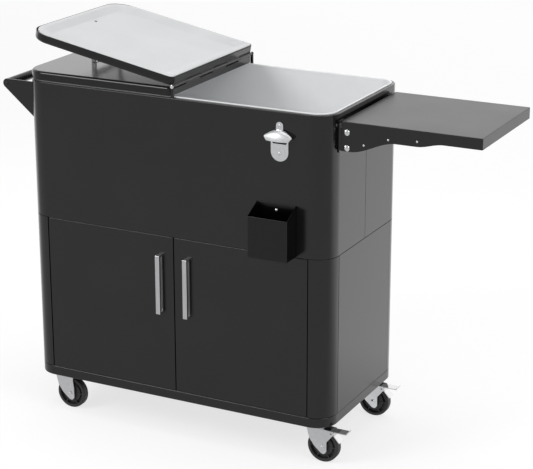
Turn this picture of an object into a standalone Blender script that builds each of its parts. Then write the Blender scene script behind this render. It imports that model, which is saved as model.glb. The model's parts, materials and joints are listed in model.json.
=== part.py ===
# Rolling patio cooler: an insulated tub with two lids, on a two-door cabinet with four swivel casters.
# Lengths are in metres. X runs from the push handle to the side shelf, Y from the doors to the back, Z up.
# Every piece is drawn in body coordinates: x from the left side, y from the door front, z from the floor.

import bpy
import bmesh
from math import atan2, cos, hypot, pi, radians, sin, sqrt
from mathutils import Matrix, Vector

# Fits
FIT = 0.0003            # gap between two pieces that touch
OVERRUN = 0.002         # how far a cutter runs past what it cuts
SHEET = 0.0012          # steel sheet of the body, doors, lids and shelf
LEAST_RADIUS = 0.0008   # corner radius that is left when an outline is drawn in past its own radius
WELD = 0.000002         # distance at which two points of a converted curve are one
SMALL_STEPS = 2         # steps in a small corner, and twice and more in larger ones
CORNER_STEPS = 6

# Body
BODY_WIDTH = 0.880
BODY_DEPTH = 0.436
FRONT_RADIUS = 0.0565
REAR_RADIUS = 0.0565
PANEL_SEAM = 0.0012     # open joint between two body panels
BODY_RADII = (FRONT_RADIUS, FRONT_RADIUS, REAR_RADIUS, REAR_RADIUS)
MIDDLE_X = BODY_WIDTH / 2

# Base tray
BASE_BOTTOM = 0.105
BASE_HEIGHT = 0.0266
BASE_EDGE = 0.002
BASE_LIP = 0.019
BASE_TOP = BASE_BOTTOM + BASE_HEIGHT

# Cabinet
CABINET_HEIGHT = 0.4267
JAMB = 0.0570           # from the body side to the edge of the door opening
JAMB_RETURN = 0.020
POST_SIDE = 0.0575      # from the body front to the joint of corner post and side panel
BACK_SIDE = 0.0610      # from the body back to the joint of back panel and side panel
PANEL_RETURN = 0.014    # flange turned inwards where two panels meet
DECK_HEIGHT = BASE_TOP + CABINET_HEIGHT     # joint between the cabinet and the tub casing
CABINET_LOW = BASE_TOP + FIT
CABINET_HIGH = DECK_HEIGHT - FIT

# Tub casing
CASING_HEIGHT = 0.3639
CASING_FLANGE = 0.0105
CASING_EDGE = 0.0020
CASING_JOINT = 0.222    # from the body back to the joint of the two casing wraps
DECK_INSET = SHEET + FIT
CASING_TOP = DECK_HEIGHT + CASING_HEIGHT

# Tub
RIM_THICKNESS = 0.0030
RIM_SET_BACK = 0.0085
RIM_EDGE = 0.0012
TUB_WALL = 0.0030
TUB_TOP_INSET = 0.0140
TUB_BOTTOM_INSET = 0.034
TUB_DEPTH = 0.255
TUB_FLOOR_RADIUS = 0.016
FLOOR_CURVE_SHARE = 0.33    # how far the middle of the floor's curve stands off its corner
FOAM_INSET = 0.0072
FOAM_TOP_GAP = 0.0140
RIM_TOP = CASING_TOP + FIT + RIM_THICKNESS
TUB_FLOOR = RIM_TOP - TUB_DEPTH

# Lids
LID_HEIGHT = 0.0230
LID_CLEARANCE = 0.0013
LID_SPLIT = 0.0035      # from the middle of the body to the joint of the lids
LID_GAP = 0.0052
LID_EDGE = 0.0075
LID_EDGE_STEPS = 3
LID_HINGE_RADIUS = 0.012
LINER_SEAT = 0.0004     # from the tub rim up to the liner that rests on it
LINER_EDGE_INSET = 0.0045   # the liner's edge stands back from the shell, with a groove between them
LINER_EDGE_RISE = 0.0060
LINER_BEAD_INSET = 0.0155
LINER_BEAD_WIDTH = 0.0050
LINER_BEAD_DROP = 0.0034
LINER_SLOPE = 0.0035
LINER_LEDGE_RISE = 0.0065
LINER_LEDGE_WIDTH = 0.0240
LINER_STEP = 0.0035
LID_BOTTOM = RIM_TOP + LID_CLEARANCE
LID_TOP = LID_BOTTOM + LID_HEIGHT
LID_JOINT_X = MIDDLE_X + LID_SPLIT

# Lid hinge
HINGE_RISE = 0.0012     # from the lid tops up to the hinge axis
KNUCKLE_RADIUS = 0.0038
KNUCKLE_SIDES = 12
KNUCKLE_BORE = 0.0026
HINGE_PIN_RADIUS = 0.0023
HINGE_LEAF = 0.0010
KNUCKLES = 6
KNUCKLE_GAP = 0.0006
LEAF_STAND = 0.0020     # from the lower edge of the lid up to the lower edge of the leaf
POST_THICKNESS = 0.0035
POST_WIDTH = 0.0080
POST_FOOT = 0.0300
PIN_HEAD_RADIUS = 0.0046
PIN_PROUD = 0.0010
LID_AXIS_Z = LID_TOP + HINGE_RISE

# Handles: bent from flat bar
HANDLE_WIDTH = 0.0123
HANDLE_BAR = 0.0065
HANDLE_BACK = 0.0012
HANDLE_LEG = 0.0050
HANDLE_CHAMFER = 0.0005
LID_HANDLE_REACH = 0.3251   # from the hinge axis to the middle of a lid handle
LID_HANDLE_SPAN = 0.130
LID_HANDLE_HEIGHT = 0.0310
HANDLE_ARM = LID_HANDLE_REACH - HANDLE_WIDTH / 2
FOLD_ANGLE = pi - 2 * atan2(LID_HANDLE_HEIGHT - HINGE_RISE + FIT, HANDLE_ARM)

# Doors
DOOR_GAP = 0.0024
DOOR_DEPTH = 0.0160
DOOR_LIP = 0.0120
DOOR_EDGE = 0.0015
DOOR_RADIUS = 0.0030
DOOR_PIN_IN = 0.0080    # from the outer edge of the door to its hinge axis
DOOR_PIN_BACK = 0.0055
DOOR_PIN_RADIUS = 0.0028
DOOR_PIN_HOLE = 0.0031
PIN_FOOT_RADIUS = 0.0048
PIN_FOOT = 0.0014
DOOR_HANDLE_IN = 0.0400     # from the middle of the body to the middle of a door handle
DOOR_HANDLE_DROP = 0.0505   # from the top of a door to the top of its handle
DOOR_HANDLE_LENGTH = 0.1605
DOOR_HANDLE_REACH = 0.0160
CATCH_WIDTH = 0.052
CATCH_DEPTH = 0.018
CATCH_HEIGHT = 0.0130
CATCH_CHAMFER = 0.0015
DOOR_LOW = BASE_TOP + DOOR_GAP
DOOR_HIGH = DECK_HEIGHT - DOOR_GAP
DOOR_HANDLE_HIGH = DOOR_HIGH - DOOR_HANDLE_DROP
DOOR_HANDLE_LOW = DOOR_HANDLE_HIGH - DOOR_HANDLE_LENGTH

# Bottle opener
OPENER_IN = 0.1355      # from the right side of the body to the middle of the opener
OPENER_DROP = 0.0243    # from the top of the casing to the top of the opener
OPENER_HEIGHT = 0.1000
OPENER_PLATE = 0.0030
LUG_RADIUS = 0.0095
LUG_SCREW_DROP = 0.0100
PLATE_RADIUS = 0.0245
PLATE_WAIST = 0.0530    # from the lower end of the plate to its waist
PLATE_SCREW_RISE = 0.0200
HOOD_HEIGHT = 0.0610    # from the lower end of the plate to the middle of the hood
HOOD_HALF_WIDTH = 0.0360
HOOD_DEPTH = 0.0230
HOOD_RISE = 0.0165
HOOD_WALL = 0.0030
HOOD_STEPS = 5
HOOD_START = radians(15)
HOOD_MOUTH_SHARE = 0.80
HOOD_SEAT_SHARE = 0.33  # how deep the hood stands in the plate
HOOD_CUT = 0.0120
CLAW_WIDTH = 0.0140
CLAW_DEPTH = 0.0060
CLAW_HEIGHT = 0.0080
OPENER_X = BODY_WIDTH - OPENER_IN
OPENER_TOP = CASING_TOP - OPENER_DROP
OPENER_BOTTOM = OPENER_TOP - OPENER_HEIGHT
HOOD_CENTRE = OPENER_BOTTOM + HOOD_HEIGHT

# Cap catcher
CATCHER_SHIFT = 0.0088  # from the middle of the opener to the middle of the catcher
CATCHER_WIDTH = 0.1080
CATCHER_DEPTH = 0.0535
CATCHER_DROP = 0.0009   # from the joint under the casing down to the catcher's floor
CATCHER_FRONT_HEIGHT = 0.1065
CATCHER_BACK_HEIGHT = 0.1330
CATCHER_RADIUS = 0.0020
CATCHER_SCREW_DROP = 0.0180
CATCHER_X = OPENER_X - CATCHER_SHIFT
CATCHER_BOTTOM = DECK_HEIGHT - CATCHER_DROP
CATCHER_FRONT = CATCHER_BOTTOM + CATCHER_FRONT_HEIGHT
CATCHER_BACK = CATCHER_BOTTOM + CATCHER_BACK_HEIGHT

# Push handle
GUSSET_FRONT_Y = 0.0470
GUSSET_THICKNESS = 0.0030
GUSSET_DROP = 0.0153    # from the top of the casing to the top of the gussets
GUSSET_FOOT = 0.0990
GUSSET_REACH = 0.0990
GUSSET_TIP_STEPS = 8
GUSSET_FLANGE = 0.0180
GUSSET_FLANGE_END = 0.0060
GRIP_RADIUS = 0.0125
GRIP_WALL = 0.0015
GRIP_SIDES = 20
GRIP_BOLT_HOLE = 0.0022
GUSSET_TOP = CASING_TOP - GUSSET_DROP
GRIP_X = GRIP_RADIUS - GUSSET_REACH
GRIP_Z = GUSSET_TOP - GRIP_RADIUS

# Side shelf: places along it run from its edge beside the body, heights from its top down
SHELF_GAP = 0.008
SHELF_LENGTH = 0.361
SHELF_FRONT = 0.042
SHELF_REAR = 0.0585     # from the body back to the rear edge of the shelf
SHELF_DROP = 0.0163     # from the top of the casing to the top of the shelf
SHELF_EDGE = 0.0015
SHELF_RADIUS = 0.0030
SHELF_APRON = 0.0280
SHELF_INNER_APRON = 0.0110
ARM_DEPTH = 0.0740
ARM_WAIST = 0.0400
ARM_FLAT = 0.0240
ARM_SWEEP = 0.1180
ARM_WAIST_LENGTH = 0.0580
ARM_TAIL = 0.0340
ARM_STEPS = 8
SHELF_RIVETS = ((0.0596, 0.0536), (0.1230, 0.0322), (0.1970, 0.0275))
RIVET_RADIUS = 0.0028
RIVET_SIDES = 8
RIVET_HEAD = 0.0014
SHELF_START = BODY_WIDTH + SHELF_GAP
SHELF_END = SHELF_START + SHELF_LENGTH
SHELF_BACK = BODY_DEPTH - SHELF_REAR
SHELF_TOP = CASING_TOP - SHELF_DROP
SWEEP_START = SHELF_START + ARM_FLAT
SWEEP_END = SWEEP_START + ARM_SWEEP
TAIL_START = SWEEP_END + ARM_WAIST_LENGTH
TAIL_END = TAIL_START + ARM_TAIL

# Shelf bolts and brackets
BOLT_IN = 0.0150
PIVOT_DROP = 0.0654
LOCK_DROP = 0.0268
BOLT_RADIUS = 0.0040
BOLT_HOLE = 0.0043
BOLT_HEAD_RADIUS = 0.0075
BOLT_HEAD = 0.0042
DOME_SHARES = (0.55, 0.85, 0.30)
EAR_THICKNESS = 0.0025
EAR_PLAY = 0.0018       # from an apron of the shelf to the bracket ear inside it
EAR_RADIUS = 0.0095
EAR_DROP = 0.0170
EAR_SHOULDER = 0.0070
BRACKET_WIDTH = 0.0300
BRACKET_DROP = 0.0020   # from the shelf top down to the top of a bracket
BRACKET_HEIGHT = 0.0790
BOLT_X = SHELF_START + BOLT_IN
PIVOT_Z = SHELF_TOP - PIVOT_DROP
LOCK_Z = SHELF_TOP - LOCK_DROP
EAR_TOP = SHELF_TOP - EAR_DROP
BRACKET_HIGH = SHELF_TOP - BRACKET_DROP
BRACKET_LOW = BRACKET_HIGH - BRACKET_HEIGHT

# Screws
SCREW_RADIUS = 0.0042
SCREW_HEAD = 0.0024
SCREW_SIDES = 10

# Casters
KINGPIN_IN = 0.058
CASTER_FRONT = 0.0465
CASTER_REAR = 0.0655
TRAIL = 0.028
WHEEL_RADIUS = 0.0433
WHEEL_WIDTH = 0.0210
WHEEL_STEPS = 28
TREAD_EDGE = 0.0025
RIM_INNER = 0.0330
HUB_RADIUS = 0.0115
HUB_BORE = 0.0036
WEB = 0.0040
SPOKES = 6
SPOKE_WIDTH = 0.0030
SPOKE_SET_BACK = 0.0020
SPOKE_ROOT = 0.0010     # how far a spoke runs into the hub and the rim
FORK_INSIDE = 0.0265
FORK_SHEET = 0.0022
FORK_SIDE_PLAY = 0.0005
CROWN_DROP = 0.0125     # from the underside of the base to the underside of the fork crown
CROWN_ROUND_SHARE = 0.8
FORK_FRONT = 0.0120
FORK_BACK = 0.0360
FORK_TIP_RADIUS = 0.0100
AXLE_RADIUS = 0.0033
AXLE_HEAD_RADIUS = 0.0060
AXLE_HEAD = 0.0030
AXLE_DOME_SHARE = 0.7
CASTER_PLATE_LENGTH = 0.0520
CASTER_PLATE_WIDTH = 0.0480
CASTER_PLATE = 0.0025
CASTER_PLATE_RADIUS = 0.0060
RACE_RADIUS = 0.0190
RACE_NECK = 0.0150
KINGPIN_RADIUS = 0.0050
KINGPIN_HOLE = 0.0054
RIVET_FLANGE_RADIUS = 0.0085
RIVET_FLANGE = 0.0025
CROWN_UNDERSIDE = BASE_BOTTOM - CROWN_DROP

# Caster brakes: places run from the kingpin, heights from the underside of the fork crown down
BRAKE_ARM_X = 0.0410
BRAKE_ARM_DROP = 0.0335
PEDAL_PIVOT_X = 0.0530
PEDAL_PIVOT_DROP = 0.0079
PEDAL_EAR = 0.0072
PEDAL_BOSS = 0.0034
PEDAL_PIN = 0.0019
PEDAL_PIN_HOLE = 0.0022
PEDAL_PIN_SIDES = 8
PEDAL_WIDTH = 0.0255
PEDAL_SHEET = 0.0022
PEDAL_START = 0.0480
PEDAL_END = 0.0975
PEDAL_DROP = 0.0020
PEDAL_LIP = 0.0035
SHOE_GAP = 0.0024       # from the tread out to the brake shoe
SHOE_TURN = radians(42)  # direction from the axle to the middle of the shoe, above the level
SHOE_RISE = 0.0062
SHOE_DROP = 0.0190
PEDAL_PIVOT_Z = CROWN_UNDERSIDE - PEDAL_PIVOT_DROP
PEDAL_TOP = CROWN_UNDERSIDE - PEDAL_DROP

# Place of the body in the frame
FRAME_X = (SHELF_END - GUSSET_REACH) / 2
FRAME_Y = (BODY_DEPTH + PIN_PROUD - CATCHER_DEPTH - FIT) / 2


# Scene, collections and materials

for old in list(bpy.data.objects):
    bpy.data.objects.remove(old, do_unlink=True)

parts = bpy.data.collections.new("rolling_patio_cooler")
cutters = bpy.data.collections.new("cutters")
bpy.context.scene.collection.children.link(parts)
bpy.context.scene.collection.children.link(cutters)


def finish(name, colour, roughness, metallic):
    material = bpy.data.materials.new(name)
    material.use_nodes = True
    shader = material.node_tree.nodes["Principled BSDF"]
    shader.inputs["Base Color"].default_value = (*colour, 1.0)
    shader.inputs["Roughness"].default_value = roughness
    shader.inputs["Metallic"].default_value = metallic
    return material


black_coat = finish("black_powder_coat", (0.020, 0.020, 0.021), 0.38, 0.0)
lid_coat = finish("black_gloss_coat", (0.018, 0.018, 0.019), 0.22, 0.0)
white_plastic = finish("white_plastic", (0.86, 0.87, 0.88), 0.35, 0.0)
foam = finish("insulating_foam", (0.78, 0.72, 0.55), 0.90, 0.0)
steel = finish("brushed_steel", (0.72, 0.72, 0.73), 0.28, 1.0)
chrome = finish("chrome_plate", (0.80, 0.81, 0.83), 0.12, 1.0)
zinc = finish("zinc_plate", (0.62, 0.63, 0.65), 0.36, 1.0)
wheel_plastic = finish("black_wheel_plastic", (0.025, 0.025, 0.027), 0.55, 0.0)
black_plastic = finish("black_plastic", (0.030, 0.030, 0.032), 0.50, 0.0)


# Places: the frame carries the body, and an empty stands on the axis of each moving body

def add_empty(name, point, parent=None, turn=(0.0, 0.0, 0.0)):
    empty = bpy.data.objects.new(name, None)
    parts.objects.link(empty)
    empty.parent = parent
    empty.location = point
    empty.rotation_euler = turn
    return empty


def add_part(name, mesh, material, parent, point=(0.0, 0.0, 0.0), smooth=radians(32)):
    mesh.name = name
    mesh.materials.clear()
    mesh.materials.append(material)
    mesh.shade_smooth()
    mesh.set_sharp_from_angle(angle=smooth)
    piece = bpy.data.objects.new(name, mesh)
    parts.objects.link(piece)
    piece.parent = parent
    piece.location = -Vector(point)
    return piece


def add_cutter(name, mesh, parent, point=(0.0, 0.0, 0.0)):
    cutter = bpy.data.objects.new(name, mesh)
    cutters.objects.link(cutter)
    cutter.parent = parent
    cutter.location = -Vector(point)
    cutter.hide_render = True
    cutter.display_type = "WIRE"
    return cutter


def cut(piece, cutter):
    change = piece.modifiers.new(cutter.name, "BOOLEAN")
    change.operation = "DIFFERENCE"
    change.solver = "EXACT"
    change.object = cutter


def thicken(piece, thickness=SHEET):
    shell = piece.modifiers.new("sheet", "SOLIDIFY")
    shell.thickness = thickness
    shell.offset = -1.0
    shell.use_even_offset = True


# Shapes

def to_mesh(name, bm, inside=None):
    """A mesh with even normals. An open skin gets normals that point away from a point inside it."""
    bmesh.ops.recalc_face_normals(bm, faces=bm.faces)
    if inside:
        away = sum(face.calc_area() * face.normal.dot(face.calc_center_median() - Vector(inside))
                   for face in bm.faces)
        if away < 0:
            bmesh.ops.reverse_faces(bm, faces=bm.faces)
    mesh = bpy.data.meshes.new(name)
    bm.to_mesh(mesh)
    bm.free()
    return mesh


def arc(centre_u, centre_v, radius, start, sweep, steps):
    turns = [start + sweep * step / steps for step in range(steps + 1)]
    return [(centre_u + radius * cos(turn), centre_v + radius * sin(turn)) for turn in turns]


def rounded(low_u, high_u, low_v, high_v, radii, inset=0.0, steps=CORNER_STEPS):
    """Points of a rectangle with round corners, counter-clockwise from its low corner, drawn in by inset."""
    corners = ((low_u, low_v, 1, 1, pi), (high_u, low_v, -1, 1, 1.5 * pi),
               (high_u, high_v, -1, -1, 0.0), (low_u, high_v, 1, -1, 0.5 * pi))
    points = []
    for (u, v, side_u, side_v, start), radius in zip(corners, radii):
        left = max(radius - inset, LEAST_RADIUS)
        points += arc(u + side_u * (inset + left), v + side_v * (inset + left), left, start, pi / 2, steps)
    return points


def flat(points, height):
    return [(u, v, height) for u, v in points]


def loft(name, rings, closed=True, first=False, last=False, inside=None):
    """A skin through rings of equally many points, made by extruding the edge of each ring into the next."""
    bm = bmesh.new()
    ring = [bm.verts.new(point) for point in rings[0]]
    pairs = list(zip(ring, ring[1:] + ring[:1])) if closed else list(zip(ring, ring[1:]))
    edges = [bm.edges.new(pair) for pair in pairs]
    if first:
        bm.faces.new(ring)
    for target in rings[1:]:
        made = bmesh.ops.extrude_edge_only(bm, edges=edges)["geom"]
        fresh = {item for item in made if isinstance(item, bmesh.types.BMVert)}
        edges = [item for item in made if isinstance(item, bmesh.types.BMEdge) and set(item.verts) <= fresh]
        partner = {}
        for vert in ring:
            for edge in vert.link_edges:
                if edge.other_vert(vert) in fresh:
                    partner[vert] = edge.other_vert(vert)
        ring = [partner[vert] for vert in ring]
        for vert, point in zip(ring, target):
            vert.co = point
    if last:
        bm.faces.new(ring)
    return to_mesh(name, bm, inside)


def block(bm, low, high):
    middle = (Vector(low) + Vector(high)) / 2
    size = Vector(high) - Vector(low)
    place = Matrix.Translation(middle) @ Matrix.Diagonal((*size, 1.0))
    bmesh.ops.create_cube(bm, size=1.0, matrix=place)


def rod(bm, centre, radius, length, axis, sides):
    turn = Matrix.Rotation(-pi / 2, 4, "X") if axis == "Y" else Matrix.Identity(4)
    bmesh.ops.create_cone(bm, cap_ends=True, segments=sides, radius1=radius, radius2=radius, depth=length,
                          matrix=Matrix.Translation(centre) @ turn)


def evaluated(piece):
    graph = bpy.context.evaluated_depsgraph_get()
    mesh = bpy.data.meshes.new_from_object(piece.evaluated_get(graph))
    bpy.data.objects.remove(piece, do_unlink=True)
    bm = bmesh.new()
    bm.from_mesh(mesh)
    bmesh.ops.remove_doubles(bm, verts=bm.verts, dist=WELD)
    return to_mesh(mesh.name, bm)


def plate(name, outline, thickness, plane="XY", start=0.0, holes=()):
    """A flat outline with holes, filled as a 2D curve and thickened from start along the plane's normal."""
    curve = bpy.data.curves.new(name, "CURVE")
    curve.dimensions = "2D"
    curve.fill_mode = "BOTH"
    curve.extrude = thickness / 2
    for loop in (outline, *holes):
        spline = curve.splines.new("POLY")
        spline.points.add(len(loop) - 1)
        for point, (u, v) in zip(spline.points, loop):
            point.co = (u, v, 0.0, 1.0)
        spline.use_cyclic_u = True
    shape = bpy.data.objects.new(name, curve)
    parts.objects.link(shape)
    mesh = evaluated(shape)
    middle = start + thickness / 2
    place = {"XY": Matrix(((1, 0, 0, 0), (0, 1, 0, 0), (0, 0, 1, middle), (0, 0, 0, 1))),
             "XZ": Matrix(((1, 0, 0, 0), (0, 0, -1, middle), (0, 1, 0, 0), (0, 0, 0, 1))),
             "YZ": Matrix(((0, 0, 1, middle), (1, 0, 0, 0), (0, 1, 0, 0), (0, 0, 0, 1)))}
    mesh.transform(place[plane])
    return mesh


def handle_loop(name, x, across, up, wall_up, wall_across=None):
    """A closed loop of flat bar round x, with the thickness of its walls across Y and up Z."""
    wall_across = wall_across or (HANDLE_LEG, HANDLE_LEG)
    outline = [(across[0], up[0]), (across[1], up[0]), (across[1], up[1]), (across[0], up[1])]
    low_y, high_y = across[0] + wall_across[0], across[1] - wall_across[1]
    low_z, high_z = up[0] + wall_up[0], up[1] - wall_up[1]
    window = [(low_y, low_z), (high_y, low_z), (high_y, high_z), (low_y, high_z)]
    return plate(name, outline, HANDLE_WIDTH, "YZ", x - HANDLE_WIDTH / 2, holes=(window,))


def circle(centre_u, centre_v, radius, sides):
    return arc(centre_u, centre_v, radius, 0.0, 2 * pi * (sides - 1) / sides, sides - 1)


def turned(name, profile, steps, closed=False):
    """A profile of radius and height, top to bottom down its outer side, turned about Z with a Screw."""
    mesh = bpy.data.meshes.new(name)
    bm = bmesh.new()
    verts = [bm.verts.new((radius, 0.0, height)) for radius, height in profile]
    for a, b in zip(verts, verts[1:] + verts[:1] if closed else verts[1:]):
        bm.edges.new((a, b))
    bm.to_mesh(mesh)
    bm.free()
    shape = bpy.data.objects.new(name, mesh)
    parts.objects.link(shape)
    screw = shape.modifiers.new("turn", "SCREW")
    screw.steps = steps
    screw.render_steps = steps
    screw.use_merge_vertices = True
    screw.merge_threshold = WELD
    return evaluated(shape)


def along_y(mesh, x, height):
    """Lays a shape that was turned about Z along Y, at x and height."""
    mesh.transform(Matrix.Translation((x, 0.0, height)) @ Matrix.Rotation(-pi / 2, 4, "X"))
    return mesh


def combined(name, base, others, operation="UNION"):
    """One solid from several overlapping ones, or from one less the others."""
    piece = bpy.data.objects.new(name, base)
    parts.objects.link(piece)
    helpers = []
    for other in others:
        helper = bpy.data.objects.new(name + "_helper", other)
        cutters.objects.link(helper)
        helpers.append(helper)
        change = piece.modifiers.new("join", "BOOLEAN")
        change.operation = operation
        change.solver = "EXACT"
        change.object = helper
    mesh = evaluated(piece)
    for helper in helpers:
        bpy.data.objects.remove(helper, do_unlink=True)
    return mesh


def from_blocks(name, *boxes):
    bm = bmesh.new()
    for low, high in boxes:
        block(bm, low, high)
    return to_mesh(name, bm)


def bevelled(piece, width):
    edge = piece.modifiers.new("edges", "BEVEL")
    edge.width = width
    edge.segments = 1
    edge.limit_method = "ANGLE"
    edge.angle_limit = radians(40)


def body_ring(inset, height):
    return flat(rounded(0.0, BODY_WIDTH, 0.0, BODY_DEPTH, BODY_RADII, inset), height)


frame = add_empty("cooler_frame", (-FRAME_X, -FRAME_Y, 0.0))


# Base tray: a pressed tray with a rolled outer wall and a lip that the cabinet walls stand on

def make_base():
    rings = [body_ring(BASE_EDGE, BASE_BOTTOM), body_ring(0.0, BASE_BOTTOM + BASE_EDGE),
             body_ring(0.0, BASE_TOP - BASE_EDGE), body_ring(BASE_EDGE, BASE_TOP),
             body_ring(BASE_LIP, BASE_TOP)]
    middle = (MIDDLE_X, BODY_DEPTH / 2, (BASE_BOTTOM + BASE_TOP) / 2)
    tray = add_part("base_tray", loft("base_tray", rings, first=True, inside=middle), black_coat, frame)
    thicken(tray)


# Cabinet walls: two front corner posts, two side panels and a back panel that wraps the rear corners

def wall(name, path, inside):
    rings = [flat(path, CABINET_LOW), flat(path, CABINET_HIGH)]
    piece = add_part(name, loft(name, rings, closed=False, inside=(*inside, CABINET_LOW)), black_coat, frame)
    thicken(piece)
    return piece


def mirrored_path(path):
    return [(BODY_WIDTH - x, y) for x, y in reversed(path)]


def make_cabinet():
    post = [(JAMB, JAMB_RETURN), (JAMB, 0.0)]
    post += reversed(arc(FRONT_RADIUS, FRONT_RADIUS, FRONT_RADIUS, pi, pi / 2, CORNER_STEPS))
    post += [(0.0, POST_SIDE), (PANEL_RETURN, POST_SIDE)]
    half_radius = FRONT_RADIUS / 2
    wall("left_corner_post", post, (half_radius, half_radius))
    wall("right_corner_post", mirrored_path(post), (BODY_WIDTH - half_radius, half_radius))

    joint = BODY_DEPTH - BACK_SIDE
    half = [(PANEL_RETURN, joint), (0.0, joint)]
    half += reversed(arc(REAR_RADIUS, BODY_DEPTH - REAR_RADIUS, REAR_RADIUS, pi / 2, pi / 2, CORNER_STEPS))
    wall("back_panel", half + mirrored_path(half), (MIDDLE_X, BODY_DEPTH / 2))

    front = POST_SIDE + PANEL_SEAM
    back = joint - PANEL_SEAM
    side = [(PANEL_RETURN, front), (0.0, front), (0.0, back), (PANEL_RETURN, back)]
    wall("left_side_panel", side, (PANEL_RETURN, BODY_DEPTH / 2))
    wall("right_side_panel", mirrored_path(side), (BODY_WIDTH - PANEL_RETURN, BODY_DEPTH / 2))


# Tub casing: a front and a rear wrap that meet half way along the sides, with a flange for the tub rim

def make_casing():
    half = PANEL_SEAM / 2
    front_joint = BODY_DEPTH - CASING_JOINT - half
    rear_joint = BODY_DEPTH - CASING_JOINT + half

    def wrap(inset, at_front):
        radius = FRONT_RADIUS if at_front else REAR_RADIUS
        left = max(radius - inset, LEAST_RADIUS)
        if at_front:
            side = [(inset, front_joint)]
            side += arc(inset + left, inset + left, left, pi, pi / 2, CORNER_STEPS)
        else:
            turn = arc(inset + left, BODY_DEPTH - inset - left, left, pi / 2, pi / 2, CORNER_STEPS)
            side = [(inset, rear_joint), *reversed(turn)]
        return side + mirrored_path(side)

    for name, at_front in (("front_casing", True), ("rear_casing", False)):
        profile = [(0.0, DECK_HEIGHT), (0.0, CASING_TOP - CASING_EDGE), (CASING_EDGE, CASING_TOP),
                   (CASING_FLANGE, CASING_TOP)]
        rings = [flat(wrap(inset, at_front), height) for inset, height in profile]
        middle = (MIDDLE_X, BODY_DEPTH / 2, DECK_HEIGHT)
        piece = add_part(name, loft(name, rings, closed=False, inside=middle), black_coat, frame)
        thicken(piece)

    outline = rounded(0.0, BODY_WIDTH, 0.0, BODY_DEPTH, BODY_RADII, DECK_INSET)
    deck = plate("deck_panel", outline, SHEET, "XY", DECK_HEIGHT)
    add_part("deck_panel", deck, black_coat, frame)


# Tub: a deep-drawn plastic liner with a flat rim, on a block of foam

def make_tub():
    under_rim = CASING_TOP + FIT
    radius = TUB_FLOOR_RADIUS
    slope = (TUB_BOTTOM_INSET - TUB_TOP_INSET) / TUB_DEPTH

    def inner(height):
        return TUB_TOP_INSET + slope * (RIM_TOP - height)

    share = FLOOR_CURVE_SHARE
    outside = (radius - TUB_WALL) * share
    rings = [body_ring(inner(TUB_FLOOR) + radius, TUB_FLOOR),
             body_ring(inner(TUB_FLOOR) + radius * share, TUB_FLOOR + radius * share),
             body_ring(inner(TUB_FLOOR + radius), TUB_FLOOR + radius),
             body_ring(inner(RIM_TOP - RIM_THICKNESS), RIM_TOP - RIM_THICKNESS),
             body_ring(TUB_TOP_INSET - RIM_THICKNESS, RIM_TOP),
             body_ring(RIM_SET_BACK + RIM_EDGE, RIM_TOP), body_ring(RIM_SET_BACK, RIM_TOP - RIM_EDGE),
             body_ring(RIM_SET_BACK, under_rim), body_ring(TUB_TOP_INSET - TUB_WALL, under_rim),
             body_ring(inner(TUB_FLOOR + radius) - TUB_WALL, TUB_FLOOR + radius),
             body_ring(inner(TUB_FLOOR) + outside, TUB_FLOOR + outside - TUB_WALL),
             body_ring(inner(TUB_FLOOR) + radius, TUB_FLOOR - TUB_WALL)]
    add_part("tub_liner", loft("tub_liner", rings, first=True, last=True), white_plastic, frame)
    for name in ("front_casing", "rear_casing"):
        cut(bpy.data.objects[name], add_cutter(name + "_notch", hinge_post_slot(name), frame))

    gap = TUB_WALL + FIT
    low = DECK_HEIGHT + SHEET + FIT
    top = CASING_TOP - FOAM_TOP_GAP
    outside = (radius - gap) * share
    rings = [body_ring(FOAM_INSET, low), body_ring(FOAM_INSET, top), body_ring(inner(top) - gap, top),
             body_ring(inner(TUB_FLOOR + radius) - gap, TUB_FLOOR + radius),
             body_ring(inner(TUB_FLOOR) + outside, TUB_FLOOR + outside - gap),
             body_ring(inner(TUB_FLOOR) + radius, TUB_FLOOR - gap)]
    add_part("insulation", loft("insulation", rings, first=True, last=True), foam, frame)


def hinge_post_slot(name):
    """The slot in the casing flange that a lid hinge post stands in."""
    reach = SHEET + POST_THICKNESS + 2 * FIT
    low, high = (SHEET, reach) if name == "front_casing" else (BODY_DEPTH - reach, BODY_DEPTH - SHEET)
    half = POST_WIDTH / 2 + FIT
    foot = CASING_TOP - CASING_EDGE - SHEET
    return from_blocks(name + "_notch", ((LID_JOINT_X - half, low, foot),
                                         (LID_JOINT_X + half, high, CASING_TOP + OVERRUN)))


# Lids: pressed shells with a moulded liner, hinged together over the middle of the tub

LID_POINT = (LID_JOINT_X, BODY_DEPTH / 2, LID_AXIS_Z)
left_lid_axis = add_empty("left_lid_axis", LID_POINT, frame)
right_lid_axis = add_empty("right_lid_axis", (0.0, 0.0, 0.0), left_lid_axis, turn=(0.0, -FOLD_ANGLE, 0.0))


def lid_ring(side, inset, height):
    """One ring of a lid: the free end has the body's corners, the hinge end has small ones."""
    if side == "left":
        points = rounded(0.0, LID_JOINT_X - LID_GAP / 2, 0.0, BODY_DEPTH,
                         (FRONT_RADIUS, LID_HINGE_RADIUS, LID_HINGE_RADIUS, REAR_RADIUS), inset)
    else:
        points = rounded(LID_JOINT_X + LID_GAP / 2, BODY_WIDTH, 0.0, BODY_DEPTH,
                         (LID_HINGE_RADIUS, FRONT_RADIUS, REAR_RADIUS, LID_HINGE_RADIUS), inset)
    return flat(points, height)


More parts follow.
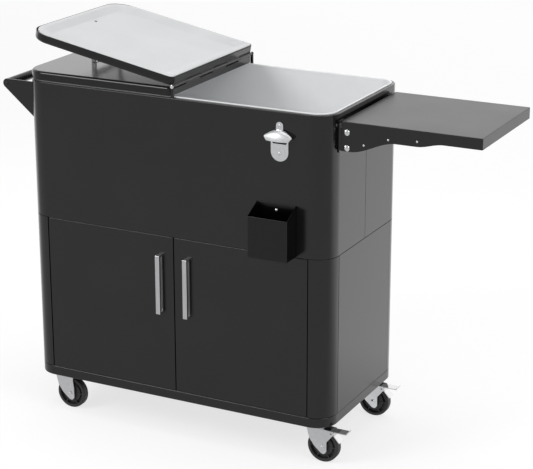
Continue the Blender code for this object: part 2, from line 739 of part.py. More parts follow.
def make_lid(side, axis):
    edge = [(LID_EDGE - LID_EDGE * sin(turn), LID_TOP - LID_EDGE + LID_EDGE * cos(turn))
            for turn in (pi / 2 * step / LID_EDGE_STEPS for step in range(LID_EDGE_STEPS + 1))]
    rings = [lid_ring(side, inset, height) for inset, height in edge] + [lid_ring(side, 0.0, LID_BOTTOM)]
    name = side + "_lid_shell"
    middle_x = LID_JOINT_X / 2 if side == "left" else (LID_JOINT_X + BODY_WIDTH) / 2
    middle = (middle_x, BODY_DEPTH / 2, LID_BOTTOM)
    shell = add_part(name, loft(name, rings, first=True, inside=middle), lid_coat, axis, LID_POINT)
    thicken(shell)

    top = LID_TOP - SHEET - FIT
    rim = RIM_TOP + LINER_SEAT
    groove = LID_BOTTOM + LINER_EDGE_RISE
    outer = SHEET + FIT
    corner = LID_EDGE
    bead = LINER_BEAD_INSET
    tray = bead + LINER_BEAD_WIDTH + LINER_SLOPE
    ledge = tray + LINER_LEDGE_WIDTH
    profile = [(outer + corner, top), (outer, top - corner), (outer, groove), (LINER_EDGE_INSET, groove),
               (LINER_EDGE_INSET, rim), (bead - LINER_SLOPE / 2, rim),
               (bead, rim - LINER_BEAD_DROP), (bead + LINER_BEAD_WIDTH, rim - LINER_BEAD_DROP),
               (tray, rim + LINER_LEDGE_RISE), (ledge, rim + LINER_LEDGE_RISE),
               (ledge + LINER_SLOPE, rim + LINER_LEDGE_RISE + LINER_STEP)]
    rings = [lid_ring(side, inset, height) for inset, height in profile]
    name = side + "_lid_liner"
    add_part(name, loft(name, rings, first=True, last=True), white_plastic, axis, LID_POINT)
    make_lid_handle(side, axis)


def make_lid_handle(side, axis):
    """A flat-bar handle like those of the doors, stood on the lid with its bar uppermost."""
    x = LID_JOINT_X - LID_HANDLE_REACH if side == "left" else LID_JOINT_X + LID_HANDLE_REACH
    low_y = (BODY_DEPTH - LID_HANDLE_SPAN) / 2
    low, high = LID_TOP + FIT, LID_TOP + LID_HANDLE_HEIGHT
    name = side + "_lid_handle"
    loop = handle_loop(name, x, (low_y, BODY_DEPTH - low_y), (low, high), (HANDLE_BACK, HANDLE_BAR))
    bevelled(add_part(name, loop, steel, axis, LID_POINT), HANDLE_CHAMFER)


# Lid hinge: two leaves whose knuckles take turns on one long pin, which two posts on the casing hold

def make_lid_hinge():
    start = SHEET + POST_THICKNESS + 3 * FIT + KNUCKLE_GAP
    length = (BODY_DEPTH - 2 * start) / KNUCKLES
    leaf_low = LID_BOTTOM + LEAF_STAND
    leaf_high = LID_AXIS_Z - KNUCKLE_RADIUS - KNUCKLE_GAP
    for side, turn, axis in (("left", -1, left_lid_axis), ("right", 1, right_lid_axis)):
        outer = LID_JOINT_X + turn * (LID_GAP / 2 - FIT)
        inner = outer - turn * HINGE_LEAF
        low_x, high_x = min(inner, outer), max(inner, outer)
        leaf = from_blocks("leaf", ((low_x, LID_HINGE_RADIUS, leaf_low),
                                    (high_x, BODY_DEPTH - LID_HINGE_RADIUS, leaf_high)))
        first = 0 if side == "left" else 1
        knuckles = bmesh.new()
        webs = bmesh.new()
        for number in range(first, KNUCKLES, 2):
            low = start + number * length + KNUCKLE_GAP / 2
            high = start + (number + 1) * length - KNUCKLE_GAP / 2
            centre = (LID_JOINT_X, (low + high) / 2, LID_AXIS_Z)
            rod(knuckles, centre, KNUCKLE_RADIUS, high - low, "Y", KNUCKLE_SIDES)
            web_low = max(low, LID_HINGE_RADIUS)
            web_high = min(high, BODY_DEPTH - LID_HINGE_RADIUS)
            block(webs, (low_x, web_low + FIT, leaf_high - KNUCKLE_RADIUS),
                  (high_x, web_high - FIT, LID_AXIS_Z))
        bore = bmesh.new()
        rod(bore, LID_POINT, KNUCKLE_BORE, BODY_DEPTH, "Y", KNUCKLE_SIDES)
        name = side + "_hinge_leaf"
        solid = combined(name, leaf, [to_mesh("webs", webs), to_mesh("knuckles", knuckles)])
        solid = combined(name, solid, [to_mesh("bore", bore)], "DIFFERENCE")
        add_part(name, solid, steel, axis, LID_POINT)

    half = POST_WIDTH / 2
    for name, low in (("front_hinge_post", SHEET + FIT),
                      ("rear_hinge_post", BODY_DEPTH - SHEET - FIT - POST_THICKNESS)):
        foot = CASING_TOP - POST_FOOT
        outline = [(LID_JOINT_X - half, foot), (LID_JOINT_X + half, foot)]
        outline += arc(LID_JOINT_X, LID_AXIS_Z, half, 0.0, pi, CORNER_STEPS)
        hole = circle(LID_JOINT_X, LID_AXIS_Z, KNUCKLE_BORE, KNUCKLE_SIDES)
        add_part(name, plate(name, outline, POST_THICKNESS, "XZ", low, holes=(hole,)), black_coat, frame)

    profile = [(0.0, BODY_DEPTH + PIN_PROUD), (PIN_HEAD_RADIUS - PIN_PROUD, BODY_DEPTH + PIN_PROUD),
               (PIN_HEAD_RADIUS, BODY_DEPTH), (PIN_HEAD_RADIUS, BODY_DEPTH - SHEET),
               (HINGE_PIN_RADIUS, BODY_DEPTH - SHEET), (HINGE_PIN_RADIUS, SHEET),
               (PIN_HEAD_RADIUS, SHEET), (PIN_HEAD_RADIUS, 0.0), (PIN_HEAD_RADIUS - PIN_PROUD, -PIN_PROUD),
               (0.0, -PIN_PROUD)]
    pin = turned("lid_hinge_pin", profile, KNUCKLE_SIDES)
    add_part("lid_hinge_pin", along_y(pin, LID_JOINT_X, LID_AXIS_Z), chrome, frame)


# Doors: folded pans, each on a rod that stands between the base and the casing

def make_door(side):
    low_x = JAMB + DOOR_GAP
    high_x = MIDDLE_X - DOOR_GAP / 2
    pin_x = low_x + DOOR_PIN_IN
    handle_x = MIDDLE_X - DOOR_HANDLE_IN
    if side == "right":
        low_x, high_x = BODY_WIDTH - high_x, BODY_WIDTH - low_x
        pin_x = BODY_WIDTH - pin_x
        handle_x = BODY_WIDTH - handle_x
    point = (pin_x, DOOR_PIN_BACK, 0.0)
    axis = add_empty(side + "_door_axis", point, frame)
    rings = []
    for inset, y in ((DOOR_EDGE, 0.0), (0.0, DOOR_EDGE), (0.0, DOOR_DEPTH), (DOOR_LIP, DOOR_DEPTH)):
        outline = rounded(low_x, high_x, DOOR_LOW, DOOR_HIGH, (DOOR_RADIUS,) * 4, inset, SMALL_STEPS)
        rings.append([(x, y, z) for x, z in outline])
    name = side + "_door"
    middle = ((low_x + high_x) / 2, DOOR_DEPTH / 2, (DOOR_LOW + DOOR_HIGH) / 2)
    door = add_part(name, loft(name, rings, first=True, inside=middle), black_coat, axis, point)
    thicken(door)
    bm = bmesh.new()
    tall = DOOR_HIGH - DOOR_LOW + 2 * OVERRUN
    rod(bm, (pin_x, DOOR_PIN_BACK, (DOOR_LOW + DOOR_HIGH) / 2), DOOR_PIN_HOLE, tall, "Z", CORNER_STEPS * 2)
    cut(door, add_cutter(name + "_pin_holes", to_mesh(name + "_pin_holes", bm), axis, point))

    front = -FIT - DOOR_HANDLE_REACH
    name = side + "_door_handle"
    loop = handle_loop(name, handle_x, (front, -FIT), (DOOR_HANDLE_LOW, DOOR_HANDLE_HIGH),
                       (HANDLE_LEG, HANDLE_LEG), (HANDLE_BAR, HANDLE_BACK))
    bevelled(add_part(name, loop, steel, axis, point), HANDLE_CHAMFER)
    return pin_x


def make_doors():
    for side in ("left", "right"):
        pin_x = make_door(side)
        low, high = CABINET_LOW + PIN_FOOT, CABINET_HIGH - PIN_FOOT
        profile = [(0.0, CABINET_HIGH), (PIN_FOOT_RADIUS, CABINET_HIGH), (PIN_FOOT_RADIUS, high),
                   (DOOR_PIN_RADIUS, high), (DOOR_PIN_RADIUS, low), (PIN_FOOT_RADIUS, low),
                   (PIN_FOOT_RADIUS, CABINET_LOW), (0.0, CABINET_LOW)]
        rod_shape = turned("hinge_rod", profile, CORNER_STEPS * 2)
        rod_shape.transform(Matrix.Translation((pin_x, DOOR_PIN_BACK, 0.0)))
        add_part(side + "_door_hinge_rod", rod_shape, zinc, frame)

    low_y = DOOR_DEPTH + FIT
    under_deck = DECK_HEIGHT - FIT
    half = CATCH_WIDTH / 2
    catch = from_blocks("magnet_catch", ((MIDDLE_X - half, low_y, under_deck - CATCH_HEIGHT),
                                         (MIDDLE_X + half, low_y + CATCH_DEPTH, under_deck)))
    bevelled(add_part("magnet_catch", catch, black_plastic, frame), CATCH_CHAMFER)


# Bottle opener and the box under it that catches the caps

def make_opener():
    back = -FIT - OPENER_PLATE
    waist = OPENER_BOTTOM + PLATE_WAIST
    shoulder = HOOD_CENTRE + HOOD_RISE / 2
    outline = arc(OPENER_X, OPENER_BOTTOM + PLATE_RADIUS, PLATE_RADIUS, pi, pi, CORNER_STEPS * 2)
    outline += [(OPENER_X + PLATE_RADIUS, waist), (OPENER_X + LUG_RADIUS, shoulder)]
    outline += arc(OPENER_X, OPENER_TOP - LUG_RADIUS, LUG_RADIUS, 0.0, pi, CORNER_STEPS)
    outline += [(OPENER_X - LUG_RADIUS, shoulder), (OPENER_X - PLATE_RADIUS, waist)]
    base = plate("bottle_opener", outline, OPENER_PLATE, "XZ", back)

    def visor(wall, start, overrun):
        """A hood of half-oval sections, narrowest at its top and drawn in a little towards its mouth."""
        rings = []
        for step in range(HOOD_STEPS + 1):
            turn = HOOD_START + (pi / 2 - HOOD_START) * step / HOOD_STEPS
            rings.append((sin(turn), HOOD_CENTRE + (HOOD_RISE - wall) * cos(turn)))
        rings.append((HOOD_MOUTH_SHARE, HOOD_CENTRE - HOOD_CUT - overrun))
        shapes = []
        for share, height in rings:
            points = arc(0.0, 0.0, 1.0, pi, pi, 2 * CORNER_STEPS)
            half, deep = share * (HOOD_HALF_WIDTH - wall), share * (HOOD_DEPTH - wall)
            shapes.append([(OPENER_X + half * u, start + deep * v, height) for u, v in points])
        return loft("visor", shapes, first=True, last=True)

    hood = visor(0.0, -FIT - OPENER_PLATE * HOOD_SEAT_SHARE, 0.0)
    hood = combined("hood", hood, [visor(HOOD_WALL, -FIT - OPENER_PLATE / 2, OVERRUN)], "DIFFERENCE")
    half = CLAW_WIDTH / 2
    claw = from_blocks("claw", ((OPENER_X - half, back - CLAW_DEPTH, HOOD_CENTRE),
                                (OPENER_X + half, back + OPENER_PLATE / 2, HOOD_CENTRE + CLAW_HEIGHT)))
    opener = combined("bottle_opener", combined("opener", base, [hood]), [claw])
    add_part("bottle_opener", opener, chrome, frame)

    low_x, high_x = CATCHER_X - CATCHER_WIDTH / 2, CATCHER_X + CATCHER_WIDTH / 2
    low_y, high_y = -FIT - CATCHER_DEPTH, -FIT
    slope = (CATCHER_BACK - CATCHER_FRONT) / CATCHER_DEPTH

    def ring(inset, height):
        points = rounded(low_x, high_x, low_y, high_y, (CATCHER_RADIUS,) * 4, inset, SMALL_STEPS)
        if height is None:
            return [(x, y, CATCHER_FRONT + slope * (y - low_y)) for x, y in points]
        return flat(points, height)

    rings = [ring(0.0, CATCHER_BOTTOM), ring(0.0, None), ring(SHEET, None),
             ring(SHEET, CATCHER_BOTTOM + SHEET)]
    add_part("cap_catcher", loft("cap_catcher", rings, first=True, last=True), black_coat, frame)


# Push handle: a round grip between two sheet gussets on the left side

def make_push_handle():
    low = GUSSET_TOP - GUSSET_FOOT
    reach = hypot(GRIP_X, GRIP_Z - low)
    slope = atan2(GRIP_Z - low, GRIP_X)
    lean = slope + pi / 2 + atan2(GRIP_RADIUS, sqrt(reach ** 2 - GRIP_RADIUS ** 2))
    edge = -FIT
    outline = [(edge, low), (edge, GUSSET_TOP)]
    outline += arc(GRIP_X, GRIP_Z, GRIP_RADIUS, pi / 2, lean - pi / 2, GUSSET_TIP_STEPS)
    bolt = circle(GRIP_X, GRIP_Z, GRIP_BOLT_HOLE, CORNER_STEPS * 2)
    for name, start, way in (("push_handle_front_gusset", GUSSET_FRONT_Y, 1),
                             ("push_handle_rear_gusset", BODY_DEPTH - GUSSET_FRONT_Y, -1)):
        first = start if way > 0 else start - GUSSET_THICKNESS
        web = plate(name, outline, GUSSET_THICKNESS, "XZ", first, holes=(bolt,))
        inner = start + way * GUSSET_FLANGE
        low_y, high_y = min(start, inner) + FIT, max(start, inner) - FIT
        flange = from_blocks("flange", ((edge - GUSSET_THICKNESS, low_y, low + GUSSET_FLANGE_END),
                                        (edge, high_y, GUSSET_TOP - GUSSET_FLANGE_END)))
        add_part(name, combined(name, web, [flange]), black_coat, frame)

    front = GUSSET_FRONT_Y + GUSSET_THICKNESS + FIT
    profile = [(GRIP_RADIUS, BODY_DEPTH - front), (GRIP_RADIUS, front),
               (GRIP_RADIUS - GRIP_WALL, front), (GRIP_RADIUS - GRIP_WALL, BODY_DEPTH - front)]
    grip = turned("push_handle_grip", profile, GRIP_SIDES, closed=True)
    add_part("push_handle_grip", along_y(grip, GRIP_X, GRIP_Z), black_coat, frame)


# Side shelf: a folded pan with shaped side aprons, which swings down about its lower bolts

SHELF_POINT = (BOLT_X, BODY_DEPTH / 2, PIVOT_Z)
shelf_axis = add_empty("shelf_axis", SHELF_POINT, frame)


def ease(share):
    return share * share * (3 - 2 * share)


def arm_depth(x):
    """Depth of the shelf's side apron below the shelf top, which narrows in two steps away from the body."""
    if x <= SWEEP_START:
        return ARM_DEPTH
    if x < SWEEP_END:
        return ARM_DEPTH + (ARM_WAIST - ARM_DEPTH) * ease((x - SWEEP_START) / ARM_SWEEP)
    if x <= TAIL_START:
        return ARM_WAIST
    if x < TAIL_END:
        return ARM_WAIST + (SHELF_APRON - ARM_WAIST) * ease((x - TAIL_START) / ARM_TAIL)
    return SHELF_APRON


def arm_places():
    first = [SWEEP_START + ARM_SWEEP * step / ARM_STEPS for step in range(ARM_STEPS + 1)]
    half = ARM_STEPS // 2
    second = [TAIL_START + ARM_TAIL * step / half for step in range(half + 1)]
    return first + second


def shelf_ring(inset, drop=None):
    """One ring of the shelf pan, with points along its sides where the aprons change depth."""
    radii = (SHELF_RADIUS,) * 4
    corners = rounded(SHELF_START, SHELF_END, SHELF_FRONT, SHELF_BACK, radii, inset, SMALL_STEPS)
    count = SMALL_STEPS + 1
    stations = arm_places()
    front = [(x, SHELF_FRONT + inset) for x in stations]
    back = [(x, SHELF_BACK - inset) for x in reversed(stations)]
    points = corners[:count] + front + corners[count:3 * count] + back + corners[3 * count:]
    ring = []
    for x, y in points:
        depth = drop
        if drop is None:
            depth = arm_depth(x)
            if x < SHELF_START + SHELF_RADIUS / 2:
                depth = SHELF_INNER_APRON
        ring.append((x, y, SHELF_TOP - depth))
    return ring


def make_shelf():
    rings = [shelf_ring(SHELF_EDGE, 0.0), shelf_ring(0.0, SHELF_EDGE), shelf_ring(0.0)]
    middle = ((SHELF_START + SHELF_END) / 2, (SHELF_FRONT + SHELF_BACK) / 2, SHELF_TOP - SHELF_APRON)
    pan = add_part("shelf_pan", loft("shelf_pan", rings, first=True, inside=middle), black_coat, shelf_axis,
                   SHELF_POINT)
    thicken(pan)
    bm = bmesh.new()
    for height in (PIVOT_Z, LOCK_Z):
        for y in (SHELF_FRONT, SHELF_BACK):
            rod(bm, (BOLT_X, y, height), BOLT_HOLE, 2 * BRACKET_WIDTH, "Y", CORNER_STEPS * 2)
    cut(pan, add_cutter("shelf_bolt_holes", to_mesh("shelf_bolt_holes", bm), shelf_axis, SHELF_POINT))

    bm = bmesh.new()
    for along, drop in SHELF_RIVETS:
        for y, way in ((SHELF_FRONT, -1), (SHELF_BACK, 1)):
            middle = (SHELF_START + along, y + way * (RIVET_HEAD - FIT) / 2, SHELF_TOP - drop)
            rod(bm, middle, RIVET_RADIUS, RIVET_HEAD + FIT, "Y", RIVET_SIDES)
    heads = add_cutter("shelf_rivets", to_mesh("shelf_rivets", bm), shelf_axis, SHELF_POINT)
    join = pan.modifiers.new("rivets", "BOOLEAN")
    join.operation = "UNION"
    join.solver = "EXACT"
    join.object = heads
    make_shelf_brackets(SHELF_FRONT + SHEET + EAR_PLAY)
    make_shelf_rods()


def make_shelf_brackets(ear_y):
    """Angle brackets on the body side: a round pivot hole, and an open seat that the locking bolt leaves."""
    side = BODY_WIDTH + FIT
    face = side + EAR_THICKNESS
    seat = arc(BOLT_X, LOCK_Z, BOLT_HOLE, pi / 2, pi, CORNER_STEPS)
    outline = [(side, BRACKET_LOW + EAR_SHOULDER), (BOLT_X - EAR_RADIUS, PIVOT_Z - EAR_RADIUS)]
    outline += arc(BOLT_X, PIVOT_Z, EAR_RADIUS, 1.5 * pi, pi / 2, CORNER_STEPS)
    outline += [(BOLT_X + EAR_RADIUS, LOCK_Z - EAR_RADIUS - BOLT_HOLE)]
    outline += list(reversed(seat))
    outline += [(BOLT_X - EAR_SHOULDER, EAR_TOP), (side, EAR_TOP)]
    hole = circle(BOLT_X, PIVOT_Z, BOLT_HOLE, CORNER_STEPS * 2)
    rear_y = SHELF_FRONT + SHELF_BACK - ear_y - EAR_THICKNESS
    for name, low in (("front_shelf_bracket", ear_y), ("rear_shelf_bracket", rear_y)):
        ear = plate(name, outline, EAR_THICKNESS, "XZ", low, holes=(hole,))
        flange_low = low if name.startswith("front") else low + EAR_THICKNESS - BRACKET_WIDTH
        flange = from_blocks("flange", ((side, flange_low, BRACKET_LOW),
                                        (face, flange_low + BRACKET_WIDTH, BRACKET_HIGH)))
        add_part(name, combined(name, flange, [ear]), black_coat, frame)


def make_shelf_rods():
    """A pivot rod and a locking rod with domed ends, which run from one apron of the shelf to the other."""
    front = SHELF_FRONT - FIT
    back = SHELF_BACK + FIT
    crown = BOLT_HEAD_RADIUS * DOME_SHARES[0]
    high, skirt = BOLT_HEAD * DOME_SHARES[1], BOLT_HEAD * DOME_SHARES[2]
    profile = [(0.0, back + BOLT_HEAD), (crown, back + high), (BOLT_HEAD_RADIUS, back + skirt),
               (BOLT_HEAD_RADIUS, back), (BOLT_RADIUS, back), (BOLT_RADIUS, front),
               (BOLT_HEAD_RADIUS, front), (BOLT_HEAD_RADIUS, front - skirt), (crown, front - high),
               (0.0, front - BOLT_HEAD)]
    for name, height in (("shelf_pivot_rod", PIVOT_Z), ("shelf_lock_rod", LOCK_Z)):
        bar = along_y(turned(name, profile, CORNER_STEPS * 2), BOLT_X, height)
        add_part(name, bar, chrome, shelf_axis, SHELF_POINT)


# Screws that hold the opener and the cap catcher on the casing

def make_screws():
    on_plate = -OPENER_PLATE - 2 * FIT
    places = {"opener_upper_screw": (OPENER_X, on_plate, OPENER_TOP - LUG_SCREW_DROP),
              "opener_lower_screw": (OPENER_X, on_plate, OPENER_BOTTOM + PLATE_SCREW_RISE),
              "catcher_screw": (CATCHER_X, -SHEET - 2 * FIT, CATCHER_BACK - CATCHER_SCREW_DROP)}
    crown = (SCREW_RADIUS * DOME_SHARES[0], SCREW_HEAD * DOME_SHARES[1])
    profile = [(0.0, SCREW_HEAD), crown, (SCREW_RADIUS, 0.0), (0.0, 0.0)]
    for name, place in places.items():
        screw = turned(name, profile, SCREW_SIDES)
        screw.transform(Matrix.Translation(place) @ Matrix.Rotation(pi / 2, 4, "X"))
        add_part(name, screw, chrome, frame)


# Casters: mesh shapes are drawn about the kingpin at floor level, with the wheel trailing along X

def wheel_mesh():
    half = WHEEL_WIDTH / 2
    side = FORK_INSIDE / 2 - FORK_SIDE_PLAY
    outer = [(WHEEL_RADIUS - TREAD_EDGE, half), (WHEEL_RADIUS, half - TREAD_EDGE)]
    inner = [(HUB_BORE, side), (HUB_RADIUS, side), (HUB_RADIUS, WEB / 2), (RIM_INNER, WEB / 2),
             (RIM_INNER, half)]
    upper = inner + outer
    profile = upper + [(radius, -height) for radius, height in reversed(upper)]
    wheel = turned("wheel", profile, WHEEL_STEPS, closed=True)
    spokes = bmesh.new()
    top = half - SPOKE_SET_BACK
    next_spoke = Matrix.Rotation(2 * pi / SPOKES, 3, "Z")
    for number in range(SPOKES):
        block(spokes, (HUB_RADIUS - SPOKE_ROOT, -SPOKE_WIDTH / 2, -top),
              (RIM_INNER + SPOKE_ROOT, SPOKE_WIDTH / 2, top))
        bmesh.ops.rotate(spokes, verts=spokes.verts, cent=(0, 0, 0), matrix=next_spoke)
    wheel = combined("wheel", wheel, [to_mesh("spokes", spokes)])
    wheel.transform(Matrix.Rotation(pi / 2, 4, "X"))
    return wheel


def fork_mesh(with_brake):
    axle_x, axle_z = TRAIL, WHEEL_RADIUS
    top = CROWN_UNDERSIDE + FORK_SHEET
    tip = FORK_TIP_RADIUS
    lean = atan2(top - axle_z, axle_x + FORK_FRONT)
    reach = hypot(top - axle_z, axle_x + FORK_FRONT)
    tangent = pi - lean + pi / 2 - atan2(tip, sqrt(reach ** 2 - tip ** 2))
    outline = [(-FORK_FRONT, top - FIT)]
    outline += arc(axle_x, axle_z, tip, tangent, 2 * pi - tangent, CORNER_STEPS)
    holes = [circle(axle_x, axle_z, AXLE_RADIUS + FIT, CORNER_STEPS * 2)]
    if with_brake:
        outline += [(BRAKE_ARM_X, CROWN_UNDERSIDE - BRAKE_ARM_DROP)]
        outline += arc(PEDAL_PIVOT_X, PEDAL_PIVOT_Z, PEDAL_EAR, -pi / 3, 0.75 * pi, CORNER_STEPS)
        holes.append(circle(PEDAL_PIVOT_X, PEDAL_PIVOT_Z, PEDAL_PIN_HOLE, PEDAL_PIN_SIDES))
    else:
        outline += [(FORK_BACK, top - FIT)]
    inside = FORK_INSIDE / 2
    starts = (inside, -inside - FORK_SHEET)
    legs = [plate("leg", outline, FORK_SHEET, "XZ", start, holes=holes) for start in starts]
    half = inside + FORK_SHEET / 2
    back = FORK_BACK - 2 * FORK_SHEET if with_brake else FORK_BACK - FORK_SHEET
    large = half * CROWN_ROUND_SHARE
    radii = (large, FORK_SHEET, FORK_SHEET, large)
    crown = rounded(-RACE_RADIUS, back, -half, half, radii, 0.0, CORNER_STEPS)
    hole = circle(0.0, 0.0, KINGPIN_HOLE, CORNER_STEPS * 2)
    top_plate = plate("crown", crown, FORK_SHEET, "XY", CROWN_UNDERSIDE, holes=(hole,))
    return combined("fork", top_plate, legs)


def caster_plate_mesh():
    under_base = BASE_BOTTOM - FIT
    low = under_base - CASTER_PLATE
    race_low = CROWN_UNDERSIDE + FORK_SHEET + FIT
    rivet_high = CROWN_UNDERSIDE - FIT
    rivet_low = rivet_high - RIVET_FLANGE
    inside = low + CASTER_PLATE / 2
    profile = [(0.0, inside), (RACE_NECK, inside), (RACE_NECK, low - FORK_SHEET),
               (RACE_RADIUS, low - 2 * FORK_SHEET), (RACE_RADIUS, race_low), (KINGPIN_RADIUS, race_low),
               (KINGPIN_RADIUS, rivet_high), (RIVET_FLANGE_RADIUS, rivet_high),
               (RIVET_FLANGE_RADIUS, rivet_high - RIVET_FLANGE / 2), (KINGPIN_RADIUS, rivet_low),
               (0.0, rivet_low)]
    stem = turned("stem", profile, CORNER_STEPS * 2)
    half_length = CASTER_PLATE_LENGTH / 2
    half_width = CASTER_PLATE_WIDTH / 2
    outline = rounded(-half_length, half_length, -half_width, half_width, (CASTER_PLATE_RADIUS,) * 4, 0.0,
                      SMALL_STEPS)
    top = plate("plate", outline, CASTER_PLATE, "XY", low)
    return combined("caster_plate", top, [stem])


def axle_mesh():
    side = FORK_INSIDE / 2 + FORK_SHEET + FIT
    dome = AXLE_HEAD_RADIUS * AXLE_DOME_SHARE
    profile = [(0.0, side + AXLE_HEAD), (dome, side + AXLE_HEAD), (AXLE_HEAD_RADIUS, side),
               (AXLE_RADIUS, side), (AXLE_RADIUS, -side), (AXLE_HEAD_RADIUS, -side),
               (AXLE_HEAD_RADIUS, -side - AXLE_HEAD), (0.0, -side - AXLE_HEAD)]
    axle = turned("axle", profile, CORNER_STEPS * 2)
    axle.transform(Matrix.Rotation(pi / 2, 4, "X"))
    return axle


def pedal_mesh():
    """A pressed foot lever: a tread with a lip, a boss on a cross pin, and a shoe that faces the wheel."""
    out = (cos(SHOE_TURN), sin(SHOE_TURN))
    along = (sin(SHOE_TURN), -cos(SHOE_TURN))
    near = WHEEL_RADIUS + SHOE_GAP
    far = near + PEDAL_SHEET

    def shoe_point(reach, slide):
        return (TRAIL + reach * out[0] + slide * along[0], WHEEL_RADIUS + reach * out[1] + slide * along[1])

    under = PEDAL_TOP - PEDAL_SHEET
    neck = PEDAL_PIVOT_X + PEDAL_BOSS
    outline = arc(PEDAL_PIVOT_X, PEDAL_PIVOT_Z, PEDAL_BOSS, 0.75 * pi, 0.75 * pi, CORNER_STEPS)
    outline += [shoe_point(near, -SHOE_RISE), shoe_point(near, SHOE_DROP), shoe_point(far, SHOE_DROP),
                shoe_point(far, -SHOE_RISE / 2), (neck + PEDAL_SHEET, under),
                (PEDAL_END - PEDAL_SHEET, under),
                (PEDAL_END, PEDAL_TOP + PEDAL_LIP), (PEDAL_END - PEDAL_SHEET, PEDAL_TOP + PEDAL_LIP),
                (PEDAL_END - 2 * PEDAL_SHEET, PEDAL_TOP), (PEDAL_START, PEDAL_TOP)]
    lever = plate("pedal", outline, PEDAL_WIDTH, "XZ", -PEDAL_WIDTH / 2)
    pin = bmesh.new()
    rod(pin, (PEDAL_PIVOT_X, 0.0, PEDAL_PIVOT_Z), PEDAL_PIN, FORK_INSIDE + 2 * FORK_SHEET - 2 * FIT, "Y",
        PEDAL_PIN_SIDES)
    return combined("pedal", lever, [to_mesh("pin", pin)])


def make_casters():
    plate_shape = caster_plate_mesh()
    wheel_shape = wheel_mesh()
    axle_shape = axle_mesh()
    plain_fork = fork_mesh(False)
    brake_fork = fork_mesh(True)
    pedal_shape = pedal_mesh()
    for end, x in (("left", KINGPIN_IN), ("right", BODY_WIDTH - KINGPIN_IN)):
        for row, y in (("front", CASTER_FRONT), ("rear", BODY_DEPTH - CASTER_REAR)):
            place = row + "_" + end
            swivel = add_empty(place + "_swivel_axis", (x, y, 0.0), frame)
            add_part(place + "_caster_plate", plate_shape.copy(), zinc, frame, (-x, -y, 0.0))
            fork = brake_fork if end == "right" else plain_fork
            add_part(place + "_caster_fork", fork.copy(), zinc, swivel)
            hub = add_empty(place + "_wheel_axis", (TRAIL, 0.0, WHEEL_RADIUS), swivel)
            add_part(place + "_wheel", wheel_shape.copy(), wheel_plastic, hub)
            add_part(place + "_axle", axle_shape.copy(), zinc, swivel, (-TRAIL, 0.0, -WHEEL_RADIUS))
            if end == "right":
                pivot = add_empty(place + "_pedal_axis", (PEDAL_PIVOT_X, 0.0, PEDAL_PIVOT_Z), swivel)
                add_part(place + "_brake_pedal", pedal_shape.copy(), zinc, pivot,
                         (PEDAL_PIVOT_X, 0.0, PEDAL_PIVOT_Z))


make_base()
make_cabinet()
make_casing()
make_tub()
make_lid("left", left_lid_axis)
make_lid("right", right_lid_axis)
make_lid_hinge()
make_doors()
make_opener()
make_push_handle()
make_shelf()
make_screws()
make_casters()
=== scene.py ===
# Rolling patio cooler for the studio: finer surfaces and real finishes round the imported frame.
# Points are in metres from the cabinet's front left corner on the floor. addPiece moves them into the frame.
import json
from math import atan2, cos, hypot, pi, radians, sin, sqrt, tan
import bpy
import bmesh
from mathutils import Matrix, Vector


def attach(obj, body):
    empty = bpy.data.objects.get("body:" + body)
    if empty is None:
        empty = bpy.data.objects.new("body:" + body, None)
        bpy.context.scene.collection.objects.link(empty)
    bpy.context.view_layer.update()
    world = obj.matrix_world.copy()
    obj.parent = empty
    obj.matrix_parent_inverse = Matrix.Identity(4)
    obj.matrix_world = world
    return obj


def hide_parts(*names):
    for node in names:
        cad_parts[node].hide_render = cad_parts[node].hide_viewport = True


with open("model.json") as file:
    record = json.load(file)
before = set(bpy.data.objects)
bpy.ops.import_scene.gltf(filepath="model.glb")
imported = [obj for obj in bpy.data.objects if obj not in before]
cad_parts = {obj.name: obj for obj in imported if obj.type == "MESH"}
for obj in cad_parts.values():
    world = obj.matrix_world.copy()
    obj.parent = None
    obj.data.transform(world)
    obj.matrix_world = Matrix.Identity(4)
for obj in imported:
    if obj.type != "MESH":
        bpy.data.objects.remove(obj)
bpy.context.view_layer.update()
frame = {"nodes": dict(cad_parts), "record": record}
shelfCart = bpy.context.scene

# the cabinet that everything is set out from
cabinet = {"width": 0.880, "depth": 0.436, "frontRadius": 0.0565, "rearRadius": 0.0565, "leastRadius": 0.0008,
           "sheet": 0.0012, "sheetBevel": 0.0003, "fit": 0.0003, "cornerSteps": 12, "offsetX": 0.5750,
           "offsetY": 0.1916}
middleX = cabinet["width"] / 2
sheet, sheetBevel, fit = cabinet["sheet"], cabinet["sheetBevel"], cabinet["fit"]
toFrame = Matrix.Translation((-cabinet["offsetX"], -cabinet["offsetY"], 0.0))


def intoScene(name, data):
    thing = bpy.data.objects.new(name, data)
    shelfCart.collection.objects.link(thing)
    return thing


# camera first, from the fit to the photograph
camera = {"focalPixels": 1757.756, "position": (2.58691, -3.68840, 1.97483), "yaw": -0.473439,
          "pitch": 0.318157, "roll": -0.00184, "centre": (262.787, 231.888), "image": (533, 469),
          "sensor": 36.0, "clip": (0.1, 100.0)}


